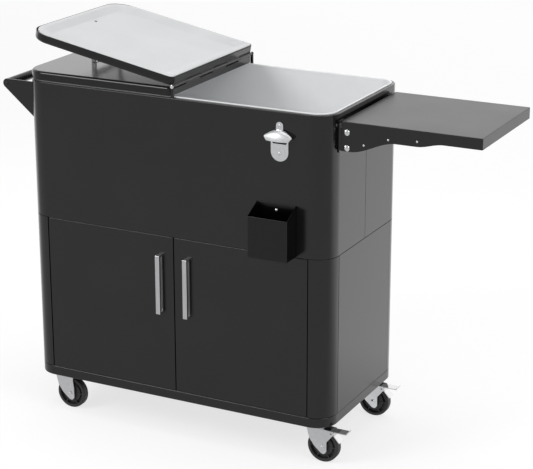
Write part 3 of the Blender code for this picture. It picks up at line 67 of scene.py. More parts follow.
def setCamera(c):
    data = bpy.data.cameras.new("photoCamera")
    view = intoScene("photoCamera", data)
    shelfCart.camera = view
    wide, high = c["image"]
    data.sensor_width = c["sensor"]
    data.lens = c["focalPixels"] / wide * c["sensor"]
    data.shift_x = (wide / 2 - c["centre"][0]) / wide
    data.shift_y = (c["centre"][1] - high / 2) / wide
    yaw, pitch, roll = c["yaw"], c["pitch"], c["roll"]
    ahead = Vector((sin(yaw) * cos(pitch), cos(yaw) * cos(pitch), -sin(pitch)))
    right = Vector((cos(yaw), -sin(yaw), 0.0))
    up = right.cross(ahead)
    tiltedRight = right * cos(roll) + up * sin(roll)
    tiltedUp = up * cos(roll) - right * sin(roll)
    turn = Matrix((tiltedRight, tiltedUp, -ahead)).transposed().to_4x4()
    view.matrix_world = toFrame @ Matrix.Translation(c["position"]) @ turn
    data.clip_start, data.clip_end = c["clip"]


setCamera(camera)
print("camera set")


# finishes: each is a small node tree with its own cloud and grain
grainOf = {"coatCloud": 6.0, "mouldCloud": 9.0, "cloudDetail": 3.0, "coatDetail": 2.0, "metalDetail": 4.0,
           "mouldDetail": 3.0, "rampLow": 0.35, "rampHigh": 0.65}


def newMaterial(name, colour, roughness, metallic=0.0, specular=0.5):
    material = bpy.data.materials.new(name)
    material.use_nodes = True
    shader = material.node_tree.nodes["Principled BSDF"]
    for socket, value in (("Base Color", (*colour, 1.0)), ("Roughness", roughness), ("Metallic", metallic),
                          ("Specular IOR Level", specular)):
        shader.inputs[socket].default_value = value
    return material


def addNode(material, kind, **values):
    node = material.node_tree.nodes.new(kind)
    for socket, value in values.items():
        node.inputs[socket].default_value = value
    return node


def wire(material, source, output, target, socket):
    material.node_tree.links.new(source.outputs[output], target.inputs[socket])


def feed(material, source, output, socket):
    wire(material, source, output, material.node_tree.nodes["Principled BSDF"], socket)


def noiseOf(material, scale, detail, stretch=(1.0, 1.0, 1.0)):
    spot = addNode(material, "ShaderNodeTexCoord")
    spread = addNode(material, "ShaderNodeMapping", Scale=stretch)
    noise = addNode(material, "ShaderNodeTexNoise", Scale=scale, Detail=detail)
    wire(material, spot, "Object", spread, "Vector")
    wire(material, spread, "Vector", noise, "Vector")
    return noise


def varyRoughness(material, noise, low, high):
    spread = addNode(material, "ShaderNodeMapRange")
    spread.inputs["To Min"].default_value = low
    spread.inputs["To Max"].default_value = high
    wire(material, noise, "Fac", spread, "Value")
    feed(material, spread, "Result", "Roughness")


def varyColour(material, noise, dark, light):
    ramp = addNode(material, "ShaderNodeValToRGB")
    ends = ((grainOf["rampLow"], dark), (grainOf["rampHigh"], light))
    for element, (position, colour) in zip(ramp.color_ramp.elements, ends):
        element.position = position
        element.color = (*colour, 1.0)
    wire(material, noise, "Fac", ramp, "Fac")
    feed(material, ramp, "Color", "Base Color")


def addBump(material, noise, depth, strength):
    bump = addNode(material, "ShaderNodeBump", Strength=strength, Distance=depth)
    wire(material, noise, "Fac", bump, "Height")
    feed(material, bump, "Normal", "Normal")


coatSettings = {
    "black_powder_coat": {"colour": (0.0030, 0.0030, 0.0032), "lighter": (0.0045, 0.0045, 0.0048),
                          "specular": 0.6, "roughness": (0.17, 0.22), "grain": 900.0, "depth": 0.00004,
                          "strength": 0.08},
    "black_gloss_coat": {"colour": (0.0028, 0.0028, 0.0030), "lighter": (0.0040, 0.0040, 0.0043),
                         "specular": 0.5, "roughness": (0.14, 0.20), "grain": 500.0, "depth": 0.00004,
                         "strength": 0.12},
    "shelf_coat": {"colour": (0.0030, 0.0030, 0.0032), "lighter": (0.0045, 0.0045, 0.0048),
                   "specular": 0.6, "roughness": (0.29, 0.37), "grain": 900.0, "depth": 0.00005,
                   "strength": 0.20},
    "cap_box_coat": {"colour": (0.0010, 0.0010, 0.0011), "lighter": (0.0016, 0.0016, 0.0018),
                     "specular": 0.42, "roughness": (0.16, 0.22), "grain": 900.0, "depth": 0.00005,
                     "strength": 0.20},
}


def cloudedFinish(name, c, cloudScale, grainDetail, specular):
    # a broad cloud in colour and gloss under a fine grain
    material = newMaterial(name, c["colour"], c["roughness"][0], specular=specular)
    cloud = noiseOf(material, cloudScale, grainOf["cloudDetail"])
    varyColour(material, cloud, c["colour"], c["lighter"])
    varyRoughness(material, cloud, *c["roughness"])
    addBump(material, noiseOf(material, c["grain"], grainDetail), c["depth"], c["strength"])
    return material


def powderCoat(name, c):
    return cloudedFinish(name, c, grainOf["coatCloud"], grainOf["coatDetail"], c["specular"])


metalSettings = {
    "brushed_steel": {"colour": (0.62, 0.62, 0.63), "lighter": (0.74, 0.74, 0.75), "roughness": (0.22, 0.40),
                      "stretch": (60.0, 60.0, 1.5), "grain": 22.0, "depth": 0.00004, "strength": 0.20},
    "chrome_plate": {"colour": (0.78, 0.79, 0.81), "lighter": (0.86, 0.87, 0.88), "roughness": (0.06, 0.16),
                     "stretch": (1.0, 1.0, 1.0), "grain": 160.0, "depth": 0.00003, "strength": 0.08},
    # a rougher copy of the chrome for the hood: its satin gloss spreads the lamp's reflection, and its
    # lighter colour is a painted highlight
    "satin_chrome_painted_highlight": {"colour": (0.84, 0.85, 0.86), "lighter": (0.90, 0.91, 0.92), "roughness": (0.44, 0.52),
                     "stretch": (1.0, 1.0, 1.0), "grain": 160.0, "depth": 0.00003, "strength": 0.08},
    "polished_steel": {"colour": (0.60, 0.60, 0.61), "lighter": (0.70, 0.70, 0.71), "roughness": (0.05, 0.10),
                       "stretch": (60.0, 60.0, 1.5), "grain": 22.0, "depth": 0.00002, "strength": 0.08},
    "zinc_plate": {"colour": (0.74, 0.75, 0.77), "lighter": (0.80, 0.81, 0.83), "roughness": (0.30, 0.38),
                   "stretch": (1.0, 1.0, 1.0), "grain": 120.0, "depth": 0.00005, "strength": 0.15},
}


def platedMetal(name, c):
    material = newMaterial(name, c["colour"], c["roughness"][0], 1.0)
    grain = noiseOf(material, c["grain"], grainOf["metalDetail"], c["stretch"])
    varyColour(material, grain, c["colour"], c["lighter"])
    varyRoughness(material, grain, *c["roughness"])
    addBump(material, grain, c["depth"], c["strength"])
    return material


mouldSettings = {
    "white_plastic": {"colour": (0.86, 0.87, 0.88), "lighter": (0.89, 0.90, 0.91), "roughness": (0.26, 0.40),
                      "grain": 350.0, "depth": 0.00005, "strength": 0.12},
    # a darker copy of the white plastic: painted shade on the lid liners, which face up and take more lamp
    # light than the tub
    "lid_white_painted_shade": {"colour": (0.60, 0.61, 0.62), "lighter": (0.64, 0.65, 0.66), "roughness": (0.30, 0.44),
                  "grain": 350.0, "depth": 0.00005, "strength": 0.12},
    "black_wheel_plastic": {"colour": (0.018, 0.018, 0.019), "lighter": (0.028, 0.028, 0.030),
                            "roughness": (0.42, 0.60), "grain": 700.0, "depth": 0.00008, "strength": 0.25},
    "black_plastic": {"colour": (0.020, 0.020, 0.021), "lighter": (0.030, 0.030, 0.032),
                      "roughness": (0.40, 0.55), "grain": 800.0, "depth": 0.00008, "strength": 0.25},
    "insulating_foam": {"colour": (0.62, 0.55, 0.38), "lighter": (0.80, 0.74, 0.56),
                        "roughness": (0.80, 0.95), "grain": 260.0, "depth": 0.00080, "strength": 0.60},
}


def moulding(name, c):
    return cloudedFinish(name, c, grainOf["mouldCloud"], grainOf["mouldDetail"], 0.5)


finishes = {}
for makeFinish, table in ((powderCoat, coatSettings), (platedMetal, metalSettings),
                          (moulding, mouldSettings)):
    for name, settings in table.items():
        finishes[name] = makeFinish(name, settings)

slotOfNode = {entry["node"]: entry["material_slot"] for entry in frame["record"]["subparts"]}
for node, shape in frame["nodes"].items():
    for slot in shape.material_slots:
        slot.material = finishes[slotOfNode[node]]
print("finishes made:", len(finishes))


# outlines
softening = {"straightWithin": 0.02, "edgeShare": 0.48}


def arcPoints(u, v, radius, start, sweep, steps):
    return [(u + radius * cos(start + sweep * k / steps), v + radius * sin(start + sweep * k / steps))
            for k in range(steps + 1)]


def ringPoints(u, v, radius, steps):
    return arcPoints(u, v, radius, 0.0, 2 * pi * (steps - 1) / steps, steps - 1)


def quarter(steps):
    # pairs along a quarter round: the first of each falls from 1 to 0, the second rises from 0 to 1
    turns = [pi / 2 * k / steps for k in range(steps + 1)]
    return [(1 - sin(turn), 1 - cos(turn)) for turn in turns]


def roundBox(lowU, highU, lowV, highV, radii, inset=0.0, steps=None):
    # four rounded corners, anticlockwise from the low one, with one radius or four
    steps = steps or cabinet["cornerSteps"]
    radii = radii if isinstance(radii, tuple) else (radii,) * 4
    corners = ((lowU, lowV, 1, 1, pi), (highU, lowV, -1, 1, 1.5 * pi), (highU, highV, -1, -1, 0.0),
               (lowU, highV, 1, -1, 0.5 * pi))
    points = []
    for (u, v, sideU, sideV, start), radius in zip(corners, radii):
        left = max(radius - inset, cabinet["leastRadius"])
        middle = (u + sideU * (inset + left), v + sideV * (inset + left))
        points += arcPoints(*middle, left, start, pi / 2, steps)
    return points


def softened(points, radii, closed=True, steps=4):
    # the same path with its corners turned into small arcs
    made = []
    count = len(points)
    for k, point in enumerate(points):
        radius = radii[k] if isinstance(radii, (list, tuple)) else radii
        if radius <= 0 or (not closed and k in (0, count - 1)):
            made.append(tuple(point))
            continue
        here = Vector(point)
        back = Vector(points[k - 1]) - here
        on = Vector(points[(k + 1) % count]) - here
        angle = back.angle(on)
        if angle > pi - softening["straightWithin"]:
            made.append(tuple(point))
            continue
        share = softening["edgeShare"]
        reach = min(radius / tan(angle / 2), share * back.length, share * on.length)
        radius = reach * tan(angle / 2)
        middle = here + (back.normalized() + on.normalized()).normalized() * (radius / sin(angle / 2))
        first = here + back.normalized() * reach - middle
        last = here + on.normalized() * reach - middle
        start = atan2(first.y, first.x)
        sweep = (atan2(last.y, last.x) - start + pi) % (2 * pi) - pi
        made += arcPoints(middle.x, middle.y, radius, start, sweep, steps)
    return made


def bodyRing(inset, z):
    radii = (cabinet["frontRadius"], cabinet["frontRadius"], cabinet["rearRadius"], cabinet["rearRadius"])
    return [(x, y, z) for x, y in roundBox(0.0, cabinet["width"], 0.0, cabinet["depth"], radii, inset)]


def mirrored(path):
    return [(cabinet["width"] - x, y) for x, y in reversed(path)]


def domed(radius, high, tip, shares, base=0.0, way=1):
    # radius and height pairs of a head from its tip down, as shares of its radius and height
    return [(tip, base + way * high)] + [(radius * across, base + way * high * up) for across, up in shares]


# meshes
meshRules = {"weld": 0.000002, "sharp": 38, "bevelFrom": 40, "normalWeight": 60}


def meshOf(name, shape, inside=None):
    bmesh.ops.recalc_face_normals(shape, faces=shape.faces)
    if inside:
        away = sum(face.calc_area() * face.normal.dot(face.calc_center_median() - Vector(inside))
                   for face in shape.faces)
        if away < 0:
            bmesh.ops.reverse_faces(shape, faces=shape.faces)
    mesh = bpy.data.meshes.new(name)
    shape.to_mesh(mesh)
    shape.free()
    return mesh


def skin(name, rings, closed=True, capFirst=False, capLast=False, loop=False, inside=None):
    # quads from ring to ring; a loop joins the last ring to the first; an open skin faces away from inside
    shape = bmesh.new()
    rows = [[shape.verts.new(point) for point in ring] for ring in rings]
    count = len(rows[0])
    for lower, upper in zip(rows, rows[1:] + rows[:1] if loop else rows[1:]):
        for k in range(count if closed else count - 1):
            j = (k + 1) % count
            shape.faces.new((lower[k], lower[j], upper[j], upper[k]))
    if capFirst:
        shape.faces.new(rows[0])
    if capLast:
        shape.faces.new(rows[-1])
    return meshOf(name, shape, inside)


def baked(holder):
    graph = bpy.context.evaluated_depsgraph_get()
    mesh = bpy.data.meshes.new_from_object(holder.evaluated_get(graph))
    bpy.data.objects.remove(holder, do_unlink=True)
    shape = bmesh.new()
    shape.from_mesh(mesh)
    bmesh.ops.remove_doubles(shape, verts=shape.verts, dist=meshRules["weld"])
    return meshOf(mesh.name, shape)


def slab(name, outline, thickness, plane, start, holes=()):
    # a flat outline with holes, given its thickness from start along the plane's normal
    curve = bpy.data.curves.new(name, "CURVE")
    curve.dimensions = "2D"
    curve.fill_mode = "BOTH"
    curve.extrude = thickness / 2
    for loop in (outline, *holes):
        spline = curve.splines.new("POLY")
        spline.points.add(len(loop) - 1)
        for point, (u, v) in zip(spline.points, loop):
            point.co = (u, v, 0.0, 1.0)
        spline.use_cyclic_u = True
    mesh = baked(intoScene(name, curve))
    middle = start + thickness / 2
    turns = {"XY": Matrix(((1, 0, 0, 0), (0, 1, 0, 0), (0, 0, 1, middle), (0, 0, 0, 1))),
             "XZ": Matrix(((1, 0, 0, 0), (0, 0, -1, middle), (0, 1, 0, 0), (0, 0, 0, 1))),
             "YZ": Matrix(((0, 0, 1, middle), (1, 0, 0, 0), (0, 1, 0, 0), (0, 0, 0, 1)))}
    mesh.transform(turns[plane])
    return mesh


def lathe(name, profile, steps, hollow=False):
    # radius and height pairs turned about Z; a hollow one closes on itself
    turns = [2 * pi * k / steps for k in range(steps)]
    rings = [[(radius * cos(turn), radius * sin(turn), height) for turn in turns]
             for radius, height in profile]
    return skin(name, rings, capFirst=not hollow, capLast=not hollow, loop=hollow)


def joined(name, base, others, operation="UNION"):
    holder = intoScene(name, base)
    helpers = [intoScene(name + "Helper", other) for other in others]
    for helper in helpers:
        change = holder.modifiers.new("join", "BOOLEAN")
        change.operation = operation
        change.solver = "EXACT"
        change.object = helper
    mesh = baked(holder)
    for helper in helpers:
        bpy.data.objects.remove(helper, do_unlink=True)
    return mesh


def blockMesh(name, low, high):
    shape = bmesh.new()
    middle = (Vector(low) + Vector(high)) / 2
    size = Vector(high) - Vector(low)
    bmesh.ops.create_cube(shape, size=1.0, matrix=Matrix.Translation(middle) @ Matrix.Diagonal((*size, 1.0)))
    return meshOf(name, shape)


def merged(name, meshes):
    shape = bmesh.new()
    for mesh in meshes:
        shape.from_mesh(mesh)
    mesh = bpy.data.meshes.new(name)
    shape.to_mesh(mesh)
    shape.free()
    return mesh


def placed(mesh, spot, turn=0.0, axis="X"):
    # a copy, turned first and then moved
    copy = mesh.copy()
    copy.transform(Matrix.Translation(spot) @ Matrix.Rotation(turn, 4, axis))
    return copy


def alongY(mesh, x, z):
    return placed(mesh, (x, 0.0, z), -pi / 2)


def addPiece(name, mesh, slot, bodyName, nodes=(), thickness=None, bevel=None, segments=2, turn=None,
             sharp=meshRules["sharp"], finish=None):
    mesh.name = name
    mesh.transform(toFrame)
    if turn is not None:
        mesh.transform(turn)
    mesh.materials.clear()
    mesh.materials.append(finishes[finish or slot])
    mesh.shade_smooth()
    mesh.set_sharp_from_angle(angle=radians(sharp))
    piece = intoScene(name, mesh)
    if thickness:
        shell = piece.modifiers.new("sheet", "SOLIDIFY")
        shell.thickness = thickness
        shell.offset = -1.0
        shell.use_even_offset = True
    if bevel:
        edge = piece.modifiers.new("edges", "BEVEL")
        edge.width = bevel
        edge.segments = segments
        edge.limit_method = "ANGLE"
        edge.angle_limit = radians(meshRules["bevelFrom"])
        edge.harden_normals = True
        edge.use_clamp_overlap = True
    even = piece.modifiers.new("even shading", "WEIGHTED_NORMAL")
    even.keep_sharp = True
    even.weight = meshRules["normalWeight"]
    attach(piece, bodyName)
    if nodes:
        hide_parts(*nodes)


def addSheet(name, rings, node, inside, faced=True, bodyName="cabinet", slot="black_powder_coat",
             bevel=sheetBevel, **more):
    # a piece of thin sheet, thickened inwards; a faced one is filled at its first ring, others are open
    mesh = skin(name, rings, closed=faced, capFirst=faced, inside=inside)
    addPiece(name, mesh, slot, bodyName, [node], thickness=sheet, bevel=bevel, **more)


# base tray: pressed, with a rolled wall and a lip for the panels
tray = {"bottom": 0.105, "top": 0.1316, "lowRadius": 0.0026, "highRadius": 0.0026, "floorInset": 0.030,
        "lip": 0.019, "steps": 5}


def makeTray(t):
    low, high = t["lowRadius"], t["highRadius"]
    rings = [bodyRing(t["floorInset"], t["bottom"])]
    rings += [bodyRing(low * falls, t["bottom"] + low * rises) for falls, rises in quarter(t["steps"])]
    rings += [bodyRing(high * rises, t["top"] - high * falls) for falls, rises in quarter(t["steps"])]
    rings.append(bodyRing(t["lip"], t["top"]))
    inside = (middleX, cabinet["depth"] / 2, (t["bottom"] + t["top"]) / 2)
    addSheet("baseTray", rings, "base_tray", inside, bevel=None)


makeTray(tray)


# cabinet walls: sheets with small bends where they turn inwards
walls = {"low": 0.1326, "high": 0.5569, "jamb": 0.0570, "jambReturn": 0.020, "postSide": 0.0575,
         "backSide": 0.0610, "seam": 0.0016, "flange": 0.014, "bend": 0.0013, "backSeam": 0.0003,
         "backBend": 0.0003}


def raiseWall(name, path, inside, w, node):
    rings = [[(x, y, z) for x, y in path] for z in (w["low"], w["high"])]
    addSheet(name, rings, node, (*inside, w["low"]), faced=False)


def makeWalls(w):
    wide, deep = cabinet["width"], cabinet["depth"]
    front, rear = cabinet["frontRadius"], cabinet["rearRadius"]
    steps = cabinet["cornerSteps"]
    post = [(w["jamb"], w["jambReturn"]), (w["jamb"], 0.0)]
    post += list(reversed(arcPoints(front, front, front, pi, pi / 2, steps)))
    post += softened([post[-1], (0.0, w["postSide"]), (w["flange"], w["postSide"])], w["bend"] / 2, False)[1:]
    raiseWall("leftCornerPost", post, (front / 2, front / 2), w, "left_corner_post")
    raiseWall("rightCornerPost", mirrored(post), (wide - front / 2, front / 2), w, "right_corner_post")

    joint = deep - w["backSide"]
    half = softened([(w["flange"], joint), (0.0, joint), (0.0, deep - rear)], w["backBend"], False)[:-1]
    half += list(reversed(arcPoints(rear, deep - rear, rear, pi / 2, pi / 2, steps)))
    raiseWall("backPanel", half + mirrored(half), (middleX, deep / 2), w, "back_panel")

    start, end = w["postSide"] + w["seam"], joint - w["backSeam"]
    side = softened([(w["flange"], start), (0.0, start), (0.0, end), (w["flange"], end)],
                    [0, w["bend"], w["backBend"], 0], False)
    raiseWall("leftSidePanel", side, (w["flange"], deep / 2), w, "left_side_panel")
    raiseWall("rightSidePanel", mirrored(side), (wide - w["flange"], deep / 2), w, "right_side_panel")


makeWalls(walls)


# strips inside the seams, so that no light comes through them
strip = {"inset": 0.0016, "thick": 0.0012, "lower": (0.1317, 0.1336), "upper": (0.5562, 0.5583),
         "cover": 0.0040}


def makeStrips(t, w):
    outer, inner = t["inset"], t["inset"] + t["thick"]
    for end in ("lower", "upper"):
        low, high = t[end]
        rings = [bodyRing(outer, low), bodyRing(outer, high), bodyRing(inner, high), bodyRing(inner, low)]
        addPiece(end + "SeamStrip", skin("strip", rings, loop=True), "black_powder_coat", "cabinet")
    for row, middle in (("front", w["postSide"]), ("back", cabinet["depth"] - w["backSide"])):
        for side, x in (("left", w["flange"]), ("right", cabinet["width"] - w["flange"] - t["thick"])):
            mesh = blockMesh("strip", (x, middle - t["cover"], w["low"]),
                             (x + t["thick"], middle + t["cover"], w["high"]))
            addPiece(row + side.capitalize() + "SeamStrip", mesh, "black_powder_coat", "cabinet")


makeStrips(strip, walls)


# tub casing: two wraps that meet half way along the sides
casing = {"low": 0.5584, "top": 0.9222, "flange": 0.0105, "topRadius": 0.0020, "joint": 0.214, "seam": 0.0012,
          "steps": 4}


def makeCasing(c):
    deep = cabinet["depth"]

    def wrap(inset, z, atFront):
        left = max(cabinet["frontRadius" if atFront else "rearRadius"] - inset, cabinet["leastRadius"])
        steps = cabinet["cornerSteps"]
        if atFront:
            side = [(inset, c["joint"] - c["seam"] / 2)]
            side += arcPoints(inset + left, inset + left, left, pi, pi / 2, steps)
        else:
            side = [(inset, c["joint"] + c["seam"] / 2)]
            side += reversed(arcPoints(inset + left, deep - inset - left, left, pi / 2, pi / 2, steps))
        return [(x, y, z) for x, y in side + mirrored(side)]

    top, radius = c["top"], c["topRadius"]
    for name, atFront, node in (("frontCasing", True, "front_casing"), ("rearCasing", False, "rear_casing")):
        rings = [wrap(0.0, c["low"], atFront)]
        rings += [wrap(radius * rises, top - radius * falls, atFront) for falls, rises in quarter(c["steps"])]
        rings.append(wrap(c["flange"], top, atFront))
        addSheet(name, rings, node, (middleX, deep / 2, c["low"]), faced=False)


makeCasing(casing)
print("cabinet and casing built")


# tub: a drawn white liner with a flat rolled rim
tub = {"rimLow": 0.9225, "rimTop": 0.9255, "rimSetBack": 0.0085, "rimRadius": 0.0013, "rimSteps": 4,
       "topInset": 0.0140, "bottomInset": 0.034, "depth": 0.255, "wall": 0.0030, "mouthRadius": 0.0035,
       "floorRadius": 0.020, "floorInset": 0.01, "underShare": 0.3, "steps": 6}


def makeTub(t):
    top, floor = t["rimTop"], t["rimTop"] - t["depth"]
    radius, mouth, edge, wall = t["floorRadius"], t["mouthRadius"], t["rimRadius"], t["wall"]
    slope = (t["bottomInset"] - t["topInset"]) / t["depth"]

    def inner(z):
        return t["topInset"] + slope * (top - z)

    base = inner(floor)
    drop = radius * t["underShare"] - wall * (1 - t["underShare"])
    rings = [bodyRing(t["bottomInset"] + radius + t["floorInset"], floor)]
    rings += [bodyRing(base + radius * falls, floor + radius * rises) for falls, rises in quarter(t["steps"])]
    rings += [bodyRing(t["topInset"] - mouth * rises, top - mouth * falls)
              for falls, rises in quarter(t["steps"])]
    rings += [bodyRing(t["rimSetBack"] + edge * falls, top - edge * rises)
              for falls, rises in quarter(t["rimSteps"])]
    rings += [bodyRing(t["rimSetBack"], t["rimLow"]), bodyRing(t["topInset"] - wall, t["rimLow"]),
              bodyRing(inner(floor + radius) - wall, floor + radius), bodyRing(base + drop, floor + drop),
              bodyRing(base + radius, floor - wall)]
    mesh = skin("tubLiner", rings, capFirst=True, capLast=True)
    addPiece("tubLiner", mesh, "white_plastic", "cabinet", ["tub_liner"])


makeTub(tub)
print("tub built")


# lids: pressed shells with a white moulded liner, made closed and then folded
lid = {"bottom": 0.9268, "height": 0.0230, "gap": 0.0052, "edge": 0.0075, "edgeSteps": 8, "topInset": 0.010,
       "hingeRadius": 0.012, "splitX": 0.4435, "hingeRise": 0.0012, "insideX": 0.2}
lidLiner = {"seat": 0.0004, "topInset": 0.02, "edgeInset": 0.0022, "edgeRise": 0.0060, "border": 0.0155,
            "slopeEnd": 0.0400, "recess": 0.0095, "flat": 0.03, "cornerExtra": 0.0080,
            "radii": (0, 0.002, 0.002, 0.0003, 0.0003, 0.0018, 0.0160, 0.0200, 0), "steps": 6, "sharp": 60}
linerPlug = {"place": (0.8275, 0.2475, 0.0), "radius": 0.0038, "high": 0.0012, "tip": 0.0004, "root": 0.001,
             "shares": ((0.75, 0.85), (1, 0.2)), "sides": 20}
lidTop = lid["bottom"] + lid["height"]
axisZ = lidTop + lid["hingeRise"]
lidHandle = {"reach": 0.3251, "span": 0.130, "height": 0.0310}
bar = {"width": 0.0123, "bar": 0.0065, "back": 0.0012, "leg": 0.0050, "corner": 0.0012, "innerShare": 0.6,
       "edge": 0.0005, "segments": 3}
# the right lid folds over on the hinge until its handle meets the left one
handleRise, handleOut = lidHandle["height"] - lid["hingeRise"] + fit, lidHandle["reach"] - bar["width"] / 2
foldTurn = Matrix.Rotation(2 * atan2(handleRise, handleOut) - pi, 4, "Y")
hingePoint = toFrame @ Vector((lid["splitX"], cabinet["depth"] / 2, axisZ))
lidTurns = {"left": None,
            "right": Matrix.Translation(hingePoint) @ foldTurn @ Matrix.Translation(-hingePoint)}


def lidRing(side, inset, z, extra=0.0):
    deep, small = cabinet["depth"], lid["hingeRadius"]
    front, rear = cabinet["frontRadius"] + extra, cabinet["rearRadius"] + extra
    ends, radii = (0.0, lid["splitX"] - lid["gap"] / 2), (front, small, small, rear)
    if side == "right":
        ends, radii = (lid["splitX"] + lid["gap"] / 2, cabinet["width"]), (small, front, rear, small)
    return [(x, y, z) for x, y in roundBox(*ends, 0.0, deep, radii, inset)]


def barLoop(name, x, across, up, wallsUp, wallsAcross, b):
    # flat bar bent into a closed loop, seen along x
    def box(low, high, bottom, top, radius):
        return softened([(low, bottom), (high, bottom), (high, top), (low, top)], radius)

    window = box(across[0] + wallsAcross[0], across[1] - wallsAcross[1],
                 up[0] + wallsUp[0], up[1] - wallsUp[1], b["corner"] * b["innerShare"])
    return slab(name, box(*across, *up, b["corner"]), b["width"], "YZ", x - b["width"] / 2, [window])


def makeLidShell(side, l):
    edge = l["edge"]
    rings = [lidRing(side, edge + l["topInset"], lidTop)]
    rings += [lidRing(side, edge * falls, lidTop - edge * rises) for falls, rises in quarter(l["edgeSteps"])]
    rings.append(lidRing(side, 0.0, l["bottom"]))
    insideX = l["insideX"] if side == "left" else cabinet["width"] - l["insideX"]
    addSheet(side + "LidShell", rings, side + "_lid_shell", (insideX, cabinet["depth"] / 2, l["bottom"]),
             bodyName=side + "_lid", slot="black_gloss_coat", turn=lidTurns[side])


def makeLidLiner(side, l, n, p):
    top, outer = lidTop - sheet - fit, sheet + fit
    rim, groove = tub["rimTop"] + n["seat"], l["bottom"] + n["edgeRise"]
    floor = rim + n["recess"]
    path = [(outer + l["edge"] + n["topInset"], top), (outer + l["edge"], top), (outer, top - l["edge"]),
            (outer, groove), (n["edgeInset"], groove), (n["edgeInset"], rim), (n["border"], rim),
            (n["slopeEnd"], floor), (n["slopeEnd"] + n["flat"], floor)]
    path = softened(path, n["radii"], False, n["steps"])
    rings = [lidRing(side, inset, z, n["cornerExtra"]) for inset, z in path]
    mesh = skin(side + "LidLiner", rings, capFirst=True, capLast=True)
    # the liners take the darker copy of the white plastic, which is painted shade
    addPiece(side + "LidLiner", mesh, "white_plastic", side + "_lid", [side + "_lid_liner"],
             turn=lidTurns[side], sharp=n["sharp"], finish="lid_white_painted_shade")
    if side == "right":
        profile = domed(p["radius"], p["high"], p["tip"], p["shares"], floor, -1)
        plug = lathe("plug", profile + [(p["radius"], floor + p["root"])], p["sides"])
        addPiece("linerPlug", placed(plug, p["place"]), "black_plastic", side + "_lid", turn=lidTurns[side])


def makeLidHandle(side, h, b):
    x = lid["splitX"] + (-h["reach"] if side == "left" else h["reach"])
    lowY = (cabinet["depth"] - h["span"]) / 2
    up = (lidTop + fit, lidTop + h["height"])
    mesh = barLoop(side + "LidHandle", x, (lowY, cabinet["depth"] - lowY), up, (b["back"], b["bar"]),
                   (b["leg"], b["leg"]), b)
    addPiece(side + "LidHandle", mesh, "brushed_steel", side + "_lid", [side + "_lid_handle"],
             bevel=b["edge"], segments=b["segments"], turn=lidTurns[side], finish="polished_steel")


for side in ("left", "right"):
    makeLidShell(side, lid)
    makeLidLiner(side, lid, lidLiner, linerPlug)
    makeLidHandle(side, lidHandle, bar)
print("lids built")


# lid hinge: leaves with alternating knuckles on one pin
hinge = {"knuckle": 0.0038, "bore": 0.0026, "leaf": 0.0010, "count": 6, "gap": 0.0006, "stand": 0.0020,
         "post": 0.0035, "chamfer": 0.0003, "webShare": 0.9, "sides": 24}
hingePin = {"radius": 0.0023, "head": 0.0046, "proud": 0.0010, "tip": 0.0006,
            "shares": ((0.55, 0.9), (0.88, 0.45), (1, 0))}


def makeHinge(h, p):
    deep = cabinet["depth"]
    knuckle, bore, chamfer = h["knuckle"], h["bore"], h["chamfer"]
    start = sheet + h["post"] + 3 * fit + h["gap"]
    length = (deep - 2 * start) / h["count"]
    for side, way, first in (("left", -1, 0), ("right", 1, 1)):
        outer = lid["splitX"] + way * (lid["gap"] / 2 - fit)
        edges = sorted((outer, outer - way * h["leaf"]))
        parts = [blockMesh("leaf", (edges[0], lid["hingeRadius"], lid["bottom"] + h["stand"]),
                           (edges[1], deep - lid["hingeRadius"], axisZ - knuckle - h["gap"]))]
        for number in range(first, h["count"], 2):
            low = start + number * length + h["gap"] / 2
            high = low + length - h["gap"]
            ring = [(bore, low), (knuckle - chamfer, low), (knuckle, low + chamfer),
                    (knuckle, high - chamfer), (knuckle - chamfer, high), (bore, high)]
            parts.append(alongY(lathe("knuckle", ring, h["sides"], hollow=True), lid["splitX"], axisZ))
            webLow, webHigh = max(low, lid["hingeRadius"]), min(high, deep - lid["hingeRadius"])
            parts.append(blockMesh("web", (edges[0], webLow, axisZ - 2 * knuckle),
                                   (edges[1], webHigh, axisZ - bore * h["webShare"])))
        addPiece(side + "HingeLeaf", merged("leaf", parts), "black_gloss_coat", side + "_lid",
                 [side + "_hinge_leaf"], turn=lidTurns[side])
    dome = domed(p["head"], p["proud"], p["tip"], p["shares"], 0.0, -1)
    dome += [(p["head"], sheet), (p["radius"], sheet)]
    profile = dome + [(radius, deep - y) for radius, y in reversed(dome)]
    pin = alongY(lathe("pin", profile, h["sides"]), lid["splitX"], axisZ)
    addPiece("lidHingePin", pin, "chrome_plate", "cabinet", ["lid_hinge_pin"])


makeHinge(hinge, hingePin)
print("lid hinge built")


# doors: folded pans with bar handles
door = {"jamb": 0.0570, "gap": 0.0024, "low": 0.1340, "high": 0.5559, "depth": 0.0160, "lip": 0.0120,
        "edge": 0.0015, "corner": 0.0030, "faceInset": 0.006, "handleIn": 0.0400, "handleLow": 0.3449,
        "handleHigh": 0.5054, "reach": 0.0160, "steps": 4}


